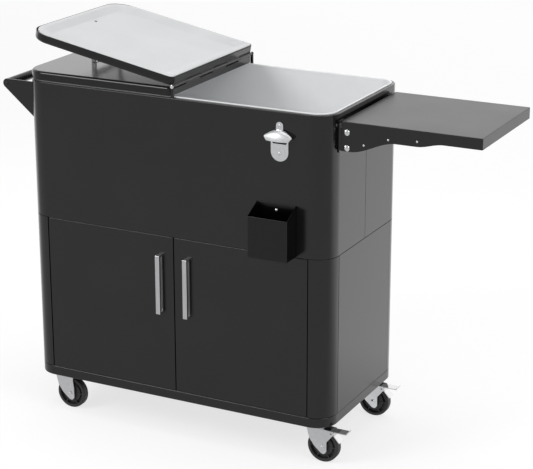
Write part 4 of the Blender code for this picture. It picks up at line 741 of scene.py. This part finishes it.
def makeDoor(side, d, b):
    lowX, highX = d["jamb"] + d["gap"], middleX - d["gap"] / 2
    handleX = middleX - d["handleIn"]
    if side == "right":
        lowX, highX = cabinet["width"] - highX, cabinet["width"] - lowX
        handleX = cabinet["width"] - handleX
    bodyName, edge = side + "_door_leaf", d["edge"]

    def ring(inset, y):
        points = roundBox(lowX, highX, d["low"], d["high"], d["corner"], inset, d["steps"])
        return [(x, y, z) for x, z in points]

    rings = [ring(edge + d["faceInset"], 0.0)]
    rings += [ring(edge * falls, edge * rises) for falls, rises in quarter(d["steps"])]
    rings += [ring(edge * rises, d["depth"] - edge * falls) for falls, rises in quarter(d["steps"])]
    rings.append(ring(d["lip"], d["depth"]))
    middle = ((lowX + highX) / 2, d["depth"] / 2, (d["low"] + d["high"]) / 2)
    addSheet(side + "Door", rings, side + "_door", middle, bodyName=bodyName, bevel=None)
    mesh = barLoop(side + "DoorHandle", handleX, (-fit - d["reach"], -fit), (d["handleLow"], d["handleHigh"]),
                   (b["leg"], b["leg"]), (b["bar"], b["back"]), b)
    addPiece(side + "DoorHandle", mesh, "brushed_steel", bodyName, [side + "_door_handle"], bevel=b["edge"],
             segments=b["segments"])


for side in ("left", "right"):
    makeDoor(side, door, bar)


# black bushes round the ends of the door hinge rods
doorBush = {"in": 0.0674, "y": 0.0055, "bore": 0.0029, "radius": 0.0053, "lower": (0.1318, 0.1337),
            "upper": (0.5562, 0.5581), "sides": 24}


def makeBushes(b):
    for side, x in (("left", b["in"]), ("right", cabinet["width"] - b["in"])):
        for end in ("lower", "upper"):
            low, high = b[end]
            ring = [(b["bore"], low), (b["radius"], low), (b["radius"], high), (b["bore"], high)]
            bush = placed(lathe("bush", ring, b["sides"], hollow=True), (x, b["y"], 0.0))
            addPiece(side + "Door" + end.capitalize() + "Bush", bush, "black_plastic", "cabinet")


makeBushes(doorBush)
print("doors built")


# bottle opener: a plate with a mouth, a visor-shaped hood and a claw
opener = {"x": 0.7450, "plate": 0.0030, "lugTop": 0.8979, "lugRadius": 0.0095, "plateRadius": 0.0238,
          "plateBottom": 0.7985, "waist": 0.8509, "bevel": 0.0009, "segments": 3, "roundSteps": 24,
          "mouth": (0.0195, 0.8425, 0.8600), "mouthRadius": 0.0040, "mouthSteps": 4,
          "screws": (0.8879, 0.8179),
          "claw": (0.0140, 0.0060, 0.0080), "clawBevel": 0.0012}
hood = {"centre": 0.8630, "halfWidth": 0.0380, "rise": 0.0155, "drop": 0.0110, "tipOut": 0.0090,
        "lipEnd": 0.0140, "lipOut": 0.0200, "topOut": 0.0010, "wall": 0.0020, "lipShare": 0.80,
        "bevel": 0.0005, "sharp": 50, "steps": 12, "across": 40}
screw = {"radius": 0.0042, "head": 0.0024, "tip": 0.0004, "slot": 0.0009, "slotDepth": 0.0010,
         "slotShare": 0.55, "sides": 24, "shares": ((0.50, 0.94), (0.80, 0.76), (0.96, 0.42), (1, 0))}


def screwMesh(s):
    top = s["head"]
    profile = domed(s["radius"], top, s["tip"], s["shares"])
    head = lathe("screw", list(reversed(profile)), s["sides"])
    reach, half = s["radius"] * s["slotShare"], s["slot"] / 2
    cross = [blockMesh("slot", (-reach, -half, top - s["slotDepth"]), (reach, half, 2 * top)),
             blockMesh("slot", (-half, -reach, top - s["slotDepth"]), (half, reach, 2 * top))]
    return joined("screw", head, cross, "DIFFERENCE")


def makeOpenerPlate(o, h):
    x, wide, narrow, steps = o["x"], o["plateRadius"], o["lugRadius"], o["roundSteps"]
    shoulder = h["centre"] + h["rise"] / 2
    outline = arcPoints(x, o["plateBottom"] + wide, wide, pi, pi, steps)
    outline += [(x + wide, o["waist"]), (x + narrow, shoulder)]
    outline += arcPoints(x, o["lugTop"] - narrow, narrow, 0.0, pi, steps // 2)
    outline += [(x - narrow, shoulder), (x - wide, o["waist"])]
    half, mouthLow, mouthHigh = o["mouth"]
    mouth = roundBox(x - half, x + half, mouthLow, mouthHigh, o["mouthRadius"], 0.0, o["mouthSteps"])
    mesh = slab("openerPlate", outline, o["plate"], "XZ", -fit - o["plate"], [mouth])
    addPiece("openerPlate", mesh, "chrome_plate", "cabinet", ["bottle_opener"], bevel=o["bevel"],
             segments=o["segments"])


def hoodPoint(o, h, share, turn):
    # share runs from -1 to 1 across the hood, and turn from its top edge to its lip
    bulge, down = 1 - share ** 2, 1 - cos(turn)
    topY = -h["topOut"] - (h["tipOut"] - h["topOut"]) * share ** 2
    lipY = -h["lipEnd"] - (h["lipOut"] - h["lipEnd"]) * bulge
    reach = h["halfWidth"] * (1 - (1 - h["lipShare"]) * down)
    return (o["x"] + share * reach, -fit - o["plate"] + topY + (lipY - topY) * sin(turn),
            h["centre"] + h["rise"] * bulge * (1 - down) - h["drop"] * down)


def makeHood(o, h):
    back = -fit - o["plate"]
    shares = [2 * j / h["across"] - 1 for j in range(h["across"] + 1)]
    turns = [pi / 2 * k / h["steps"] for k in range(h["steps"] + 1)]
    rings = [[hoodPoint(o, h, share, turn) for share in shares] for turn in turns]
    mesh = skin("openerHood", rings, closed=False, inside=(o["x"], back, h["centre"] - h["drop"]))
    # the hood takes the rougher, lighter copy of the chrome; its lighter colour is a painted highlight
    addPiece("openerHood", mesh, "chrome_plate", "cabinet", ["bottle_opener"], thickness=h["wall"],
             bevel=h["bevel"], sharp=h["sharp"], finish="satin_chrome_painted_highlight")
    wide, deep, high = o["claw"]
    mesh = blockMesh("claw", (o["x"] - wide / 2, back - deep, h["centre"]),
                     (o["x"] + wide / 2, back + o["plate"] / 2, h["centre"] + high))
    addPiece("openerClaw", mesh, "chrome_plate", "cabinet", ["bottle_opener"], bevel=o["clawBevel"],
             segments=o["segments"])


makeOpenerPlate(opener, hood)
makeHood(opener, hood)


# box that catches the caps, with its screw and the opener's two
capBox = {"x": 0.7357, "width": 0.1080, "depth": 0.0535, "bottom": 0.5574, "front": 0.6639, "back": 0.6904,
          "corner": 0.0020, "cornerSteps": 4, "screwDrop": 0.0180,
          "foot": ((0.0018, 0.0), (0.0005, 0.0005), (0.0, 0.0018))}


def makeScrews(o, s, box):
    plateY, boxY = -o["plate"] - 2 * fit, -sheet - 2 * fit
    head = screwMesh(s)
    for name, spot, node in (
            ("openerUpperScrew", (o["x"], plateY, o["screws"][0]), "opener_upper_screw"),
            ("openerLowerScrew", (o["x"], plateY, o["screws"][1]), "opener_lower_screw"),
            ("capBoxScrew", (box["x"], boxY, box["back"] - box["screwDrop"]), "catcher_screw")):
        addPiece(name, placed(head, spot, pi / 2), "chrome_plate", "cabinet", [node])


def makeCapBox(b):
    lowX, highX = b["x"] - b["width"] / 2, b["x"] + b["width"] / 2
    lowY, highY = -fit - b["depth"], -fit
    slope = (b["back"] - b["front"]) / b["depth"]

    def ring(inset, z=None):
        # without a height it follows the sloping top edge
        points = roundBox(lowX, highX, lowY, highY, b["corner"], inset, b["cornerSteps"])
        return [(x, y, z if z is not None else b["front"] + slope * (y - lowY)) for x, y in points]

    rings = [ring(inset, b["bottom"] + up) for inset, up in b["foot"]]
    rings += [ring(0.0), ring(sheet), ring(sheet, b["bottom"] + sheet)]
    mesh = skin("capBox", rings, capFirst=True, capLast=True)
    addPiece("capBox", mesh, "black_powder_coat", "cabinet", ["cap_catcher"], bevel=sheetBevel,
             finish="cap_box_coat")


makeScrews(opener, screw, capBox)
makeCapBox(capBox)
print("opener and cap box built")


# push handle on the left: a grip tube between two gussets
pushHandle = {"frontY": 0.0470, "plate": 0.0030, "top": 0.9069, "foot": 0.0990, "reach": 0.0990,
              "radius": 0.0125, "wall": 0.0015, "flange": 0.0180, "flangeEnd": 0.0060, "screwIn": 0.022,
              "chamfer": 0.0004, "bevel": 0.0006, "segments": 3, "roundSteps": 20, "sides": 40}


def makePushHandle(p):
    gripX, gripZ = p["radius"] - p["reach"], p["top"] - p["radius"]
    low, top, radius = p["top"] - p["foot"], p["top"], p["radius"]
    reach = hypot(gripX, gripZ - low)
    lean = atan2(gripZ - low, gripX) + pi / 2 + atan2(radius, sqrt(reach ** 2 - radius ** 2))
    outline = [(-fit, low), (-fit, top)]
    outline += arcPoints(gripX, gripZ, radius, pi / 2, lean - pi / 2, p["roundSteps"])
    head = screwMesh(screw)
    for name, start, way in (("front", p["frontY"], 1), ("rear", cabinet["depth"] - p["frontY"], -1)):
        gusset = name + "Gusset"
        first = start if way > 0 else start - p["plate"]
        web = slab(gusset, outline, p["plate"], "XZ", first)
        inner = start + way * p["flange"]
        flange = blockMesh("flange", (-fit - p["plate"], min(start, inner) + fit, low + p["flangeEnd"]),
                           (-fit, max(start, inner) - fit, top - p["flangeEnd"]))
        addPiece(gusset, joined(gusset, web, [flange]), "black_powder_coat", "cabinet",
                 ["push_handle_" + name + "_gusset"], bevel=p["bevel"], segments=p["segments"])
        bolt = placed(head, (gripX, start, gripZ), way * pi / 2)
        addPiece(gusset + "Screw", bolt, "black_powder_coat", "cabinet")
        middle = start + way * (p["flange"] + p["plate"]) / 2
        for z in (low + p["screwIn"], top - p["screwIn"]):
            bolt = placed(head, (-fit - p["plate"], middle, z), -pi / 2, "Y")
            addPiece(gusset + "FlangeScrew" + str(round(z * 1000)), bolt, "chrome_plate", "cabinet")
    front = p["frontY"] + p["plate"] + fit
    back = cabinet["depth"] - front
    inner, chamfer = radius - p["wall"], p["chamfer"]
    profile = [(inner, front), (radius - chamfer, front), (radius, front + chamfer), (radius, back - chamfer),
               (radius - chamfer, back), (inner, back)]
    grip = alongY(lathe("grip", profile, p["sides"], hollow=True), gripX, gripZ)
    addPiece("pushGrip", grip, "black_powder_coat", "cabinet", ["push_handle_grip"])


makePushHandle(pushHandle)
print("push handle built")


# side shelf: a folded pan whose side aprons narrow in two sweeps
shelf = {"start": 0.888, "end": 1.249, "front": 0.042, "back": 0.3775, "top": 0.9059, "edge": 0.0016,
         "corner": 0.0030, "faceInset": 0.008, "apron": 0.0280, "innerApron": 0.0110, "armDepth": 0.0740,
         "waist": 0.0400, "flat": 0.9120, "waistStart": 1.0300, "waistEnd": 1.0840, "armEnd": 1.1520,
         "steps": 20, "cornerSteps": 4}
shelfRivet = {"places": ((0.9476, 0.8523), (1.0110, 0.8737), (1.0850, 0.8784)), "radius": 0.0028,
              "head": 0.0014, "tip": 0.0003, "shares": ((0.62, 0.85), (0.92, 0.45), (1, 0)), "sides": 20}
shelfBolt = {"x": 0.9030, "pivotZ": 0.8405, "lockZ": 0.8791, "radius": 0.0040, "headRadius": 0.0084,
             "head": 0.0044, "tip": 0.0005, "sides": 32,
             "shares": ((0.40, 0.93), (0.72, 0.70), (0.92, 0.38), (1, 0.08), (1, 0))}


def armDepth(x, s):
    # the side aprons' depth along the shelf, with an eased step at each sweep
    def swept(start, end, fromDepth, toDepth):
        share = (x - start) / (end - start)
        return fromDepth + (toDepth - fromDepth) * (share * share * (3 - 2 * share))

    if x <= s["flat"]:
        return s["armDepth"]
    if x < s["waistStart"]:
        return swept(s["flat"], s["waistStart"], s["armDepth"], s["waist"])
    if x <= s["waistEnd"]:
        return s["waist"]
    if x < s["armEnd"]:
        return swept(s["waistEnd"], s["armEnd"], s["waist"], s["apron"])
    return s["apron"]


def makeShelfPan(s):
    steps, half, edge = s["cornerSteps"], s["steps"] // 2, s["edge"]
    stations = [s["flat"] + (s["waistStart"] - s["flat"]) * k / s["steps"] for k in range(s["steps"] + 1)]
    stations += [s["waistEnd"] + (s["armEnd"] - s["waistEnd"]) * k / half for k in range(half + 1)]

    def ring(inset, drop=None):
        # without a drop it is the lower edge of the aprons
        corners = roundBox(s["start"], s["end"], s["front"], s["back"], s["corner"], inset, steps)
        count = steps + 1
        points = corners[:count] + [(x, s["front"] + inset) for x in stations] + corners[count:3 * count]
        points += [(x, s["back"] - inset) for x in reversed(stations)] + corners[3 * count:]
        made = []
        for x, y in points:
            depth = drop
            if drop is None:
                depth = s["innerApron"] if x < s["start"] + s["corner"] / 2 else armDepth(x, s)
            made.append((x, y, s["top"] - depth))
        return made

    rings = [ring(edge + s["faceInset"], 0.0)]
    rings += [ring(edge * falls, edge * rises) for falls, rises in quarter(steps)]
    rings.append(ring(0.0))
    inside = ((s["start"] + s["end"]) / 2, (s["front"] + s["back"]) / 2, s["top"] - s["apron"])
    addSheet("shelfPan", rings, "shelf_pan", inside, bodyName="side_shelf", finish="shelf_coat")


def makeShelfFixings(s, r, b):
    rivet = lathe("rivet", list(reversed(domed(r["radius"], r["head"], r["tip"], r["shares"]))), r["sides"])
    for number, (x, z) in enumerate(r["places"], 1):
        for end, y, way in (("Front", s["front"], 1), ("Rear", s["back"], -1)):
            head = placed(rivet, (x, y, z), way * pi / 2)
            addPiece("shelfRivet" + end + str(number), head, "chrome_plate", "side_shelf")
    front, back = s["front"] - fit, s["back"] + fit
    cap = domed(b["headRadius"], b["head"], b["tip"], b["shares"], front, -1) + [(b["radius"], front)]
    profile = cap + [(radius, front + back - y) for radius, y in reversed(cap)]
    for name, z, node in (("shelfPivotRod", b["pivotZ"], "shelf_pivot_rod"),
                          ("shelfLockRod", b["lockZ"], "shelf_lock_rod")):
        rod = alongY(lathe(name, profile, b["sides"]), b["x"], z)
        addPiece(name, rod, "chrome_plate", "side_shelf", [node])


makeShelfPan(shelf)
makeShelfFixings(shelf, shelfRivet, shelfBolt)


# shelf brackets on the cabinet's side
bracket = {"thick": 0.0025, "play": 0.0018, "earRadius": 0.0095, "earTop": 0.8889, "shoulder": 0.0070,
           "width": 0.0300, "low": 0.8249, "high": 0.9039, "hole": 0.0043, "corner": 0.003, "bevel": 0.0004,
           "screwOff": 0.004, "screwIn": 0.012, "roundSteps": 12, "holeSides": 24}


def makeBrackets(b, bolt, s):
    side = cabinet["width"] + fit
    x, pivotZ, lockZ, ear, steps = bolt["x"], bolt["pivotZ"], bolt["lockZ"], b["earRadius"], b["roundSteps"]
    seat = arcPoints(x, lockZ, b["hole"], pi / 2, pi, steps)
    outline = [(side, b["low"] + b["shoulder"]), (x - ear, pivotZ - ear)]
    outline += arcPoints(x, pivotZ, ear, 1.5 * pi, pi / 2, steps)
    outline += [(x + ear, lockZ - ear - b["hole"])]
    outline += list(reversed(seat)) + [(x - b["shoulder"], b["earTop"]), (side, b["earTop"])]
    hole = ringPoints(x, pivotZ, b["hole"], b["holeSides"])
    earY = s["front"] + sheet + b["play"]
    head = screwMesh(screw)
    for row, low, way in (("front", earY, 1), ("rear", s["front"] + s["back"] - earY - b["thick"], -1)):
        name = row + "ShelfBracket"
        start = low if way > 0 else low + b["thick"] - b["width"]
        end = start + b["width"]
        corners = [(start, b["low"]), (end, b["low"]), (end, b["high"]), (start, b["high"])]
        flange = slab("flange", softened(corners, b["corner"]), b["thick"], "YZ", side)
        mesh = joined(name, flange, [slab(name, outline, b["thick"], "XZ", low, [hole])])
        addPiece(name, mesh, "black_powder_coat", "cabinet", [row + "_shelf_bracket"], bevel=b["bevel"])
        middle = start + b["width"] / 2 + way * b["screwOff"]
        for z in (b["low"] + b["screwIn"], b["high"] - b["screwIn"]):
            bolted = placed(head, (side + b["thick"], middle, z), pi / 2, "Y")
            addPiece(name + "Screw" + str(round(z * 1000)), bolted, "zinc_plate", "cabinet")


makeBrackets(bracket, shelfBolt, shelf)
print("shelf built")


# casters: places and sizes that their pieces share
caster = {"inX": 0.058, "frontY": 0.0465, "rearY": 0.3705, "trail": 0.028, "radius": 0.0433,
          "inside": 0.0265, "sheet": 0.0022, "play": 0.0005, "crown": 0.0925, "pivotX": 0.0530,
          "pivotZ": 0.0846, "bevel": 0.0004, "forkBevel": 0.0006, "nutBevel": 0.0003}
wheelShape = {"width": 0.0210, "rim": 0.0345, "hub": 0.0115, "disc": 0.0272, "discDrop": 0.0030,
              "bore": 0.0036, "web": 0.0040, "edge": 0.0008, "fillet": 0.0010, "draft": 0.0005,
              "tread": 0.0035, "treadSteps": 4, "spokes": 6, "spoke": 0.0030, "spokeSink": 0.002, "sides": 56}
forkShape = {"front": 0.0165, "back": 0.0360, "softSteps": 5, "axleHole": 0.0033, "stemHole": 0.0054,
             "leaf": ((-0.0080, 0.0627), (0.0060, 0.0433), (0.0257, 0.0262), (0.0344, 0.0245),
                      (0.0407, 0.0322), (0.0407, 0.0590)),
             "leafRadii": (0.012, 0.020, 0.010, 0.006, 0.006, 0.003), "ear": 0.0072, "earSteps": 12,
             "crownFront": 0.0190, "crownShare": 0.8, "crownCorner": 0.002, "crownSteps": 10, "holeSides": 20}
pedalShape = {"width": 0.0255, "sheet": 0.0022, "start": 0.0480, "end": 0.0975, "top": 0.0905, "lip": 0.0035,
              "boss": 0.0034, "bossSteps": 10, "shoeGap": 0.0024, "shoeTurn": 42, "shoeRise": 0.0062,
              "shoeDrop": 0.0190, "softSteps": 3, "pin": 0.0019, "pinSides": 16,
              "radii": (0, 0.0005, 0.0005, 0.003, 0.003, 0.0015, 0.0008, 0.0008, 0.0015, 0)}
mountShape = {"thick": 0.0025, "halfX": 0.026, "halfY": 0.024, "corner": 0.006, "cornerSteps": 6,
              "race": ((0.0140, 0.001), (0.0150, 0.0), (0.0155, -0.0015), (0.0190, -0.0035)),
              "raceRadius": 0.0190, "neck": 0.0050,
              "button": ((0.0050, 0.0), (0.0085, 0.0), (0.0082, -0.0012), (0.0050, -0.0025)), "sides": 32,
              "nutX": 0.0195, "nutY": 0.0175, "nutSides": 6,
              "nut": ((0.0042, -0.0030), (0.0046, -0.0026), (0.0046, -0.0001))}
axleShape = {"radius": 0.0033, "head": 0.0060, "high": 0.0030, "tip": 0.0004, "rim": 0.0003,
             "footShare": 0.98, "shares": ((0.55, 0.94), (0.88, 0.55)), "sides": 28}


def wheelMesh(c, w):
    half, side = w["width"] / 2, c["inside"] / 2 - c["play"]
    plate, web = half - w["discDrop"], w["web"] / 2
    hub, disc, rim, edge, fillet, draft = w["hub"], w["disc"], w["rim"], w["edge"], w["fillet"], w["draft"]
    tread = [(c["radius"] - w["tread"] * rises, half - w["tread"] * falls)
             for falls, rises in quarter(w["treadSteps"])]
    upper = [(w["bore"], side), (hub - edge, side), (hub, side - edge), (hub, plate + fillet),
             (hub + fillet, plate), (disc - fillet, plate), (disc, plate - fillet), (disc + draft, web),
             (rim - draft, web), (rim, half - edge), (rim + fillet, half)]
    upper += list(reversed(tread))
    profile = upper + [(radius, -z) for radius, z in reversed(upper)]
    wheel = lathe("wheel", profile, w["sides"], hollow=True)
    sink = w["spokeSink"]
    arm = blockMesh("spoke", (hub - sink, -w["spoke"] / 2, -half + sink),
                    (rim + fillet, w["spoke"] / 2, half - sink))
    arms = [placed(arm, (0.0, 0.0, 0.0), 2 * pi * number / w["spokes"], "Z")
            for number in range(w["spokes"])]
    return placed(joined("wheel", wheel, [merged("spokes", arms)]), (0.0, 0.0, 0.0), pi / 2)


def forkMesh(c, f, withBrake):
    top, thick, inside = c["crown"] + c["sheet"], c["sheet"], c["inside"] / 2
    holes = [ringPoints(c["trail"], c["radius"], f["axleHole"] + fit, f["holeSides"])]
    ear = arcPoints(c["pivotX"], c["pivotZ"], f["ear"], -pi / 3, 0.75 * pi, f["earSteps"])
    end = ear[0] if withBrake else (f["back"], top - fit)
    path = [(-f["front"], top - fit), *f["leaf"], end]
    outline = softened(path, [0, *f["leafRadii"], 0], False, f["softSteps"])
    if withBrake:
        outline += ear[1:]
    legs = [slab("leg", outline, thick, "XZ", start, holes) for start in (inside, -inside - thick)]
    half, corner = inside + thick / 2, f["crownCorner"]
    back = f["back"] - (2 if withBrake else 1) * thick
    radii = (half * f["crownShare"], corner, corner, half * f["crownShare"])
    crown = roundBox(-f["crownFront"], back, -half, half, radii, 0.0, f["crownSteps"])
    stemHole = ringPoints(0.0, 0.0, f["stemHole"], f["holeSides"])
    return joined("fork", slab("crown", crown, thick, "XY", c["crown"], [stemHole]), legs)


def pedalMesh(c, p):
    angle, thick, lip = radians(p["shoeTurn"]), p["sheet"], p["top"] + p["lip"]
    out, along = (cos(angle), sin(angle)), (sin(angle), -cos(angle))
    near = c["radius"] + p["shoeGap"]
    far = near + thick

    def shoe(reach, slide):
        # a point on the brake shoe, from the wheel's middle
        return (c["trail"] + reach * out[0] + slide * along[0],
                c["radius"] + reach * out[1] + slide * along[1])

    under, neck = p["top"] - thick, c["pivotX"] + p["boss"]
    outline = arcPoints(c["pivotX"], c["pivotZ"], p["boss"], 0.75 * pi, 0.75 * pi, p["bossSteps"])
    tail = [shoe(near, -p["shoeRise"]), shoe(near, p["shoeDrop"]), shoe(far, p["shoeDrop"]),
            shoe(far, -p["shoeRise"] / 2), (neck + thick, under), (p["end"] - thick, under), (p["end"], lip),
            (p["end"] - thick, lip), (p["end"] - 2 * thick, p["top"]), (p["start"], p["top"])]
    outline += softened(tail, p["radii"], False, p["softSteps"])
    lever = slab("pedal", outline, p["width"], "XZ", -p["width"] / 2)
    half = c["inside"] / 2 + c["sheet"]
    pin = lathe("pin", [(p["pin"], -half), (p["pin"], half)], p["pinSides"])
    return merged("pedal", [lever, placed(pin, (c["pivotX"], 0.0, c["pivotZ"]), pi / 2)])


def mountMesh(c, m):
    low = tray["bottom"] - fit - m["thick"]
    raceLow, neckZ = c["crown"] + c["sheet"] + fit, c["crown"] - fit
    profile = [(radius, low + z) for radius, z in m["race"]]
    profile += [(m["raceRadius"], raceLow), (m["neck"], raceLow)]
    profile += [(radius, neckZ + z) for radius, z in m["button"]]
    stem = lathe("stem", profile, m["sides"])
    outline = roundBox(-m["halfX"], m["halfX"], -m["halfY"], m["halfY"], m["corner"], 0.0, m["cornerSteps"])
    top = slab("plate", outline, m["thick"], "XY", low)
    nut = lathe("nut", [(radius, low + z) for radius, z in m["nut"]], m["nutSides"])
    nuts = [placed(nut, (x, y, 0.0)) for x in (-m["nutX"], m["nutX"]) for y in (-m["nutY"], m["nutY"])]
    return joined("plate", top, [stem]), nuts


def axleMesh(c, a):
    side = c["inside"] / 2 + c["sheet"] + fit
    cap = domed(a["head"], a["high"], a["tip"], a["shares"], side)
    cap += [(a["head"], side + a["rim"]), (a["head"] * a["footShare"], side), (a["radius"], side)]
    profile = cap + [(radius, -y) for radius, y in reversed(cap)]
    return placed(lathe("axle", profile, a["sides"]), (0.0, 0.0, 0.0), pi / 2)


def makeCasters(c):
    wheel, axle, lever = wheelMesh(c, wheelShape), axleMesh(c, axleShape), pedalMesh(c, pedalShape)
    forks = {"left": forkMesh(c, forkShape, False), "right": forkMesh(c, forkShape, True)}
    mount, nuts = mountMesh(c, mountShape)
    for end, x in (("left", c["inX"]), ("right", cabinet["width"] - c["inX"])):
        for row, y in (("front", c["frontY"]), ("rear", c["rearY"])):
            name, node = row + end.capitalize(), row + "_" + end + "_"
            here, hub = (x, y, 0.0), (x + c["trail"], y, c["radius"])
            for part, mesh, spot, slot, bodyName, old, edge in (
                    ("Plate", mount, here, "zinc_plate", "cabinet", "caster_plate", c["bevel"]),
                    ("Fork", forks[end], here, "zinc_plate", node + "swivel", "caster_fork", c["forkBevel"]),
                    ("Axle", axle, hub, "zinc_plate", node + "swivel", "axle", None),
                    ("Wheel", wheel, hub, "black_wheel_plastic", node + "roller", "wheel", c["bevel"])):
                addPiece(name + part, placed(mesh, spot), slot, bodyName, [node + old], bevel=edge)
            for number, nut in enumerate(nuts, 1):
                addPiece(name + "Nut" + str(number), placed(nut, here), "zinc_plate", "cabinet",
                         bevel=c["nutBevel"])
            if end == "right":
                addPiece(name + "Pedal", placed(lever, here), "zinc_plate", node + "pedal",
                         [node + "brake_pedal"], bevel=c["bevel"], finish="polished_steel")


makeCasters(caster)
print("casters built")


# studio: a pale floor that keeps the shadow, white around it, soft lamps
studio = {"floorSize": 60.0, "floorColour": 0.92, "floorRoughness": 0.9, "floorSpecular": 0.1,
          "floorShare": 0.80, "floorSeen": 0.62, "floorWhite": (1.165, 1.265), "floorFade": (2.5, 5.5),
          "floorTurn": (-0.3, 0.6), "floorMirrored": (0.50, 1.35), "white": 0.985, "ambient": 0.48,
          "skyTurn": (-0.3, 0.6), "skyMirrored": (0.50, 1.35), "skyRise": (0.35, 0.80), "skyTop": 0.25,
          "target": (0.0, 0.0, 0.5),
          "lamps": (("keyLamp", (-2.6, -3.4, 3.4), 2.2, 75.0), ("fillLamp", (3.6, -1.2, 3.4), 2.6, 44.0),
                    ("topLamp", (0.2, 0.6, 4.6), 3.4, 54.0))}


def ranged(tree, source, fromLow, fromHigh, low, high):
    spread = tree.nodes.new("ShaderNodeMapRange")
    for key, value in (("From Min", fromLow), ("From Max", fromHigh), ("To Min", low), ("To Max", high)):
        if isinstance(value, bpy.types.NodeSocket):
            tree.links.new(value, spread.inputs[key])
        else:
            spread.inputs[key].default_value = value
    tree.links.new(source, spread.inputs["Value"])
    return spread.outputs["Result"]


def switched(tree, ray, off, on):
    return ranged(tree, ray, 0.0, 1.0, off, on)


def raysAndPlace(tree, coordinate):
    rays = tree.nodes.new("ShaderNodeLightPath")
    where = tree.nodes.new("ShaderNodeTexCoord")
    split = tree.nodes.new("ShaderNodeSeparateXYZ")
    tree.links.new(where.outputs[coordinate], split.inputs[0])
    return rays.outputs, split.outputs


def makeSky(s):
    # the camera sees plain white; metal and coat see a bright wall behind and a dimmer room in front
    world = bpy.data.worlds.new("studioWorld")
    shelfCart.world = world
    world.use_nodes = True
    tree = world.node_tree
    light = tree.nodes["Background"]
    light.inputs["Color"].default_value = (1.0, 1.0, 1.0, 1.0)
    rays, place = raysAndPlace(tree, "Generated")
    wall = ranged(tree, place["Y"], *s["skyTurn"], *s["skyMirrored"])
    sky = ranged(tree, place["Z"], *s["skyRise"], wall, s["skyTop"])
    glossy = switched(tree, rays["Is Glossy Ray"], s["ambient"], sky)
    through = switched(tree, rays["Is Transmission Ray"], glossy, 1.0)
    seen = switched(tree, rays["Is Camera Ray"], through, s["white"])
    tree.links.new(seen, light.inputs["Strength"])


def makeFloor(s):
    half = s["floorSize"] / 2
    shape = bmesh.new()
    corners = ((-half, -half, 0), (half, -half, 0), (half, half, 0), (-half, half, 0))
    shape.faces.new([shape.verts.new(point) for point in corners])
    mesh = bpy.data.meshes.new("studioFloor")
    shape.to_mesh(mesh)
    shape.free()
    floor = intoScene("studioFloor", mesh)
    pale = (s["floorColour"],) * 3
    material = newMaterial("paleFloor", pale, s["floorRoughness"], specular=s["floorSpecular"])
    tree = material.node_tree
    glow = tree.nodes.new("ShaderNodeEmission")
    glow.inputs["Color"].default_value = (1.0, 1.0, 1.0, 1.0)
    rays, place = raysAndPlace(tree, "Object")
    glossy = ranged(tree, place["Y"], *s["floorTurn"], *s["floorMirrored"])
    strength = switched(tree, rays["Is Glossy Ray"], 1.0, glossy)
    plain = ranged(tree, place["Y"], *s["floorFade"], *s["floorWhite"])
    strength = switched(tree, rays["Is Camera Ray"], strength, plain)
    tree.links.new(strength, glow.inputs["Strength"])
    share = switched(tree, rays["Is Camera Ray"], 0.0, s["floorSeen"])
    share = switched(tree, rays["Is Glossy Ray"], share, s["floorShare"])
    share = switched(tree, rays["Is Transmission Ray"], share, s["floorShare"])
    mix = tree.nodes.new("ShaderNodeMixShader")
    tree.links.new(share, mix.inputs["Fac"])
    tree.links.new(tree.nodes["Principled BSDF"].outputs[0], mix.inputs[1])
    tree.links.new(glow.outputs[0], mix.inputs[2])
    tree.links.new(mix.outputs[0], tree.nodes["Material Output"].inputs["Surface"])
    mesh.materials.append(material)


def makeLamps(s):
    for name, spot, size, power in s["lamps"]:
        data = bpy.data.lights.new(name, "AREA")
        data.shape = "DISK"
        data.size = size
        data.energy = power
        lamp = intoScene(name, data)
        lamp.location = spot
        lamp.rotation_euler = (Vector(s["target"]) - Vector(spot)).to_track_quat("-Z", "Y").to_euler()


makeSky(studio)
makeFloor(studio)
makeLamps(studio)
shelfCart.view_settings.view_transform = "Standard"
print("studio set")
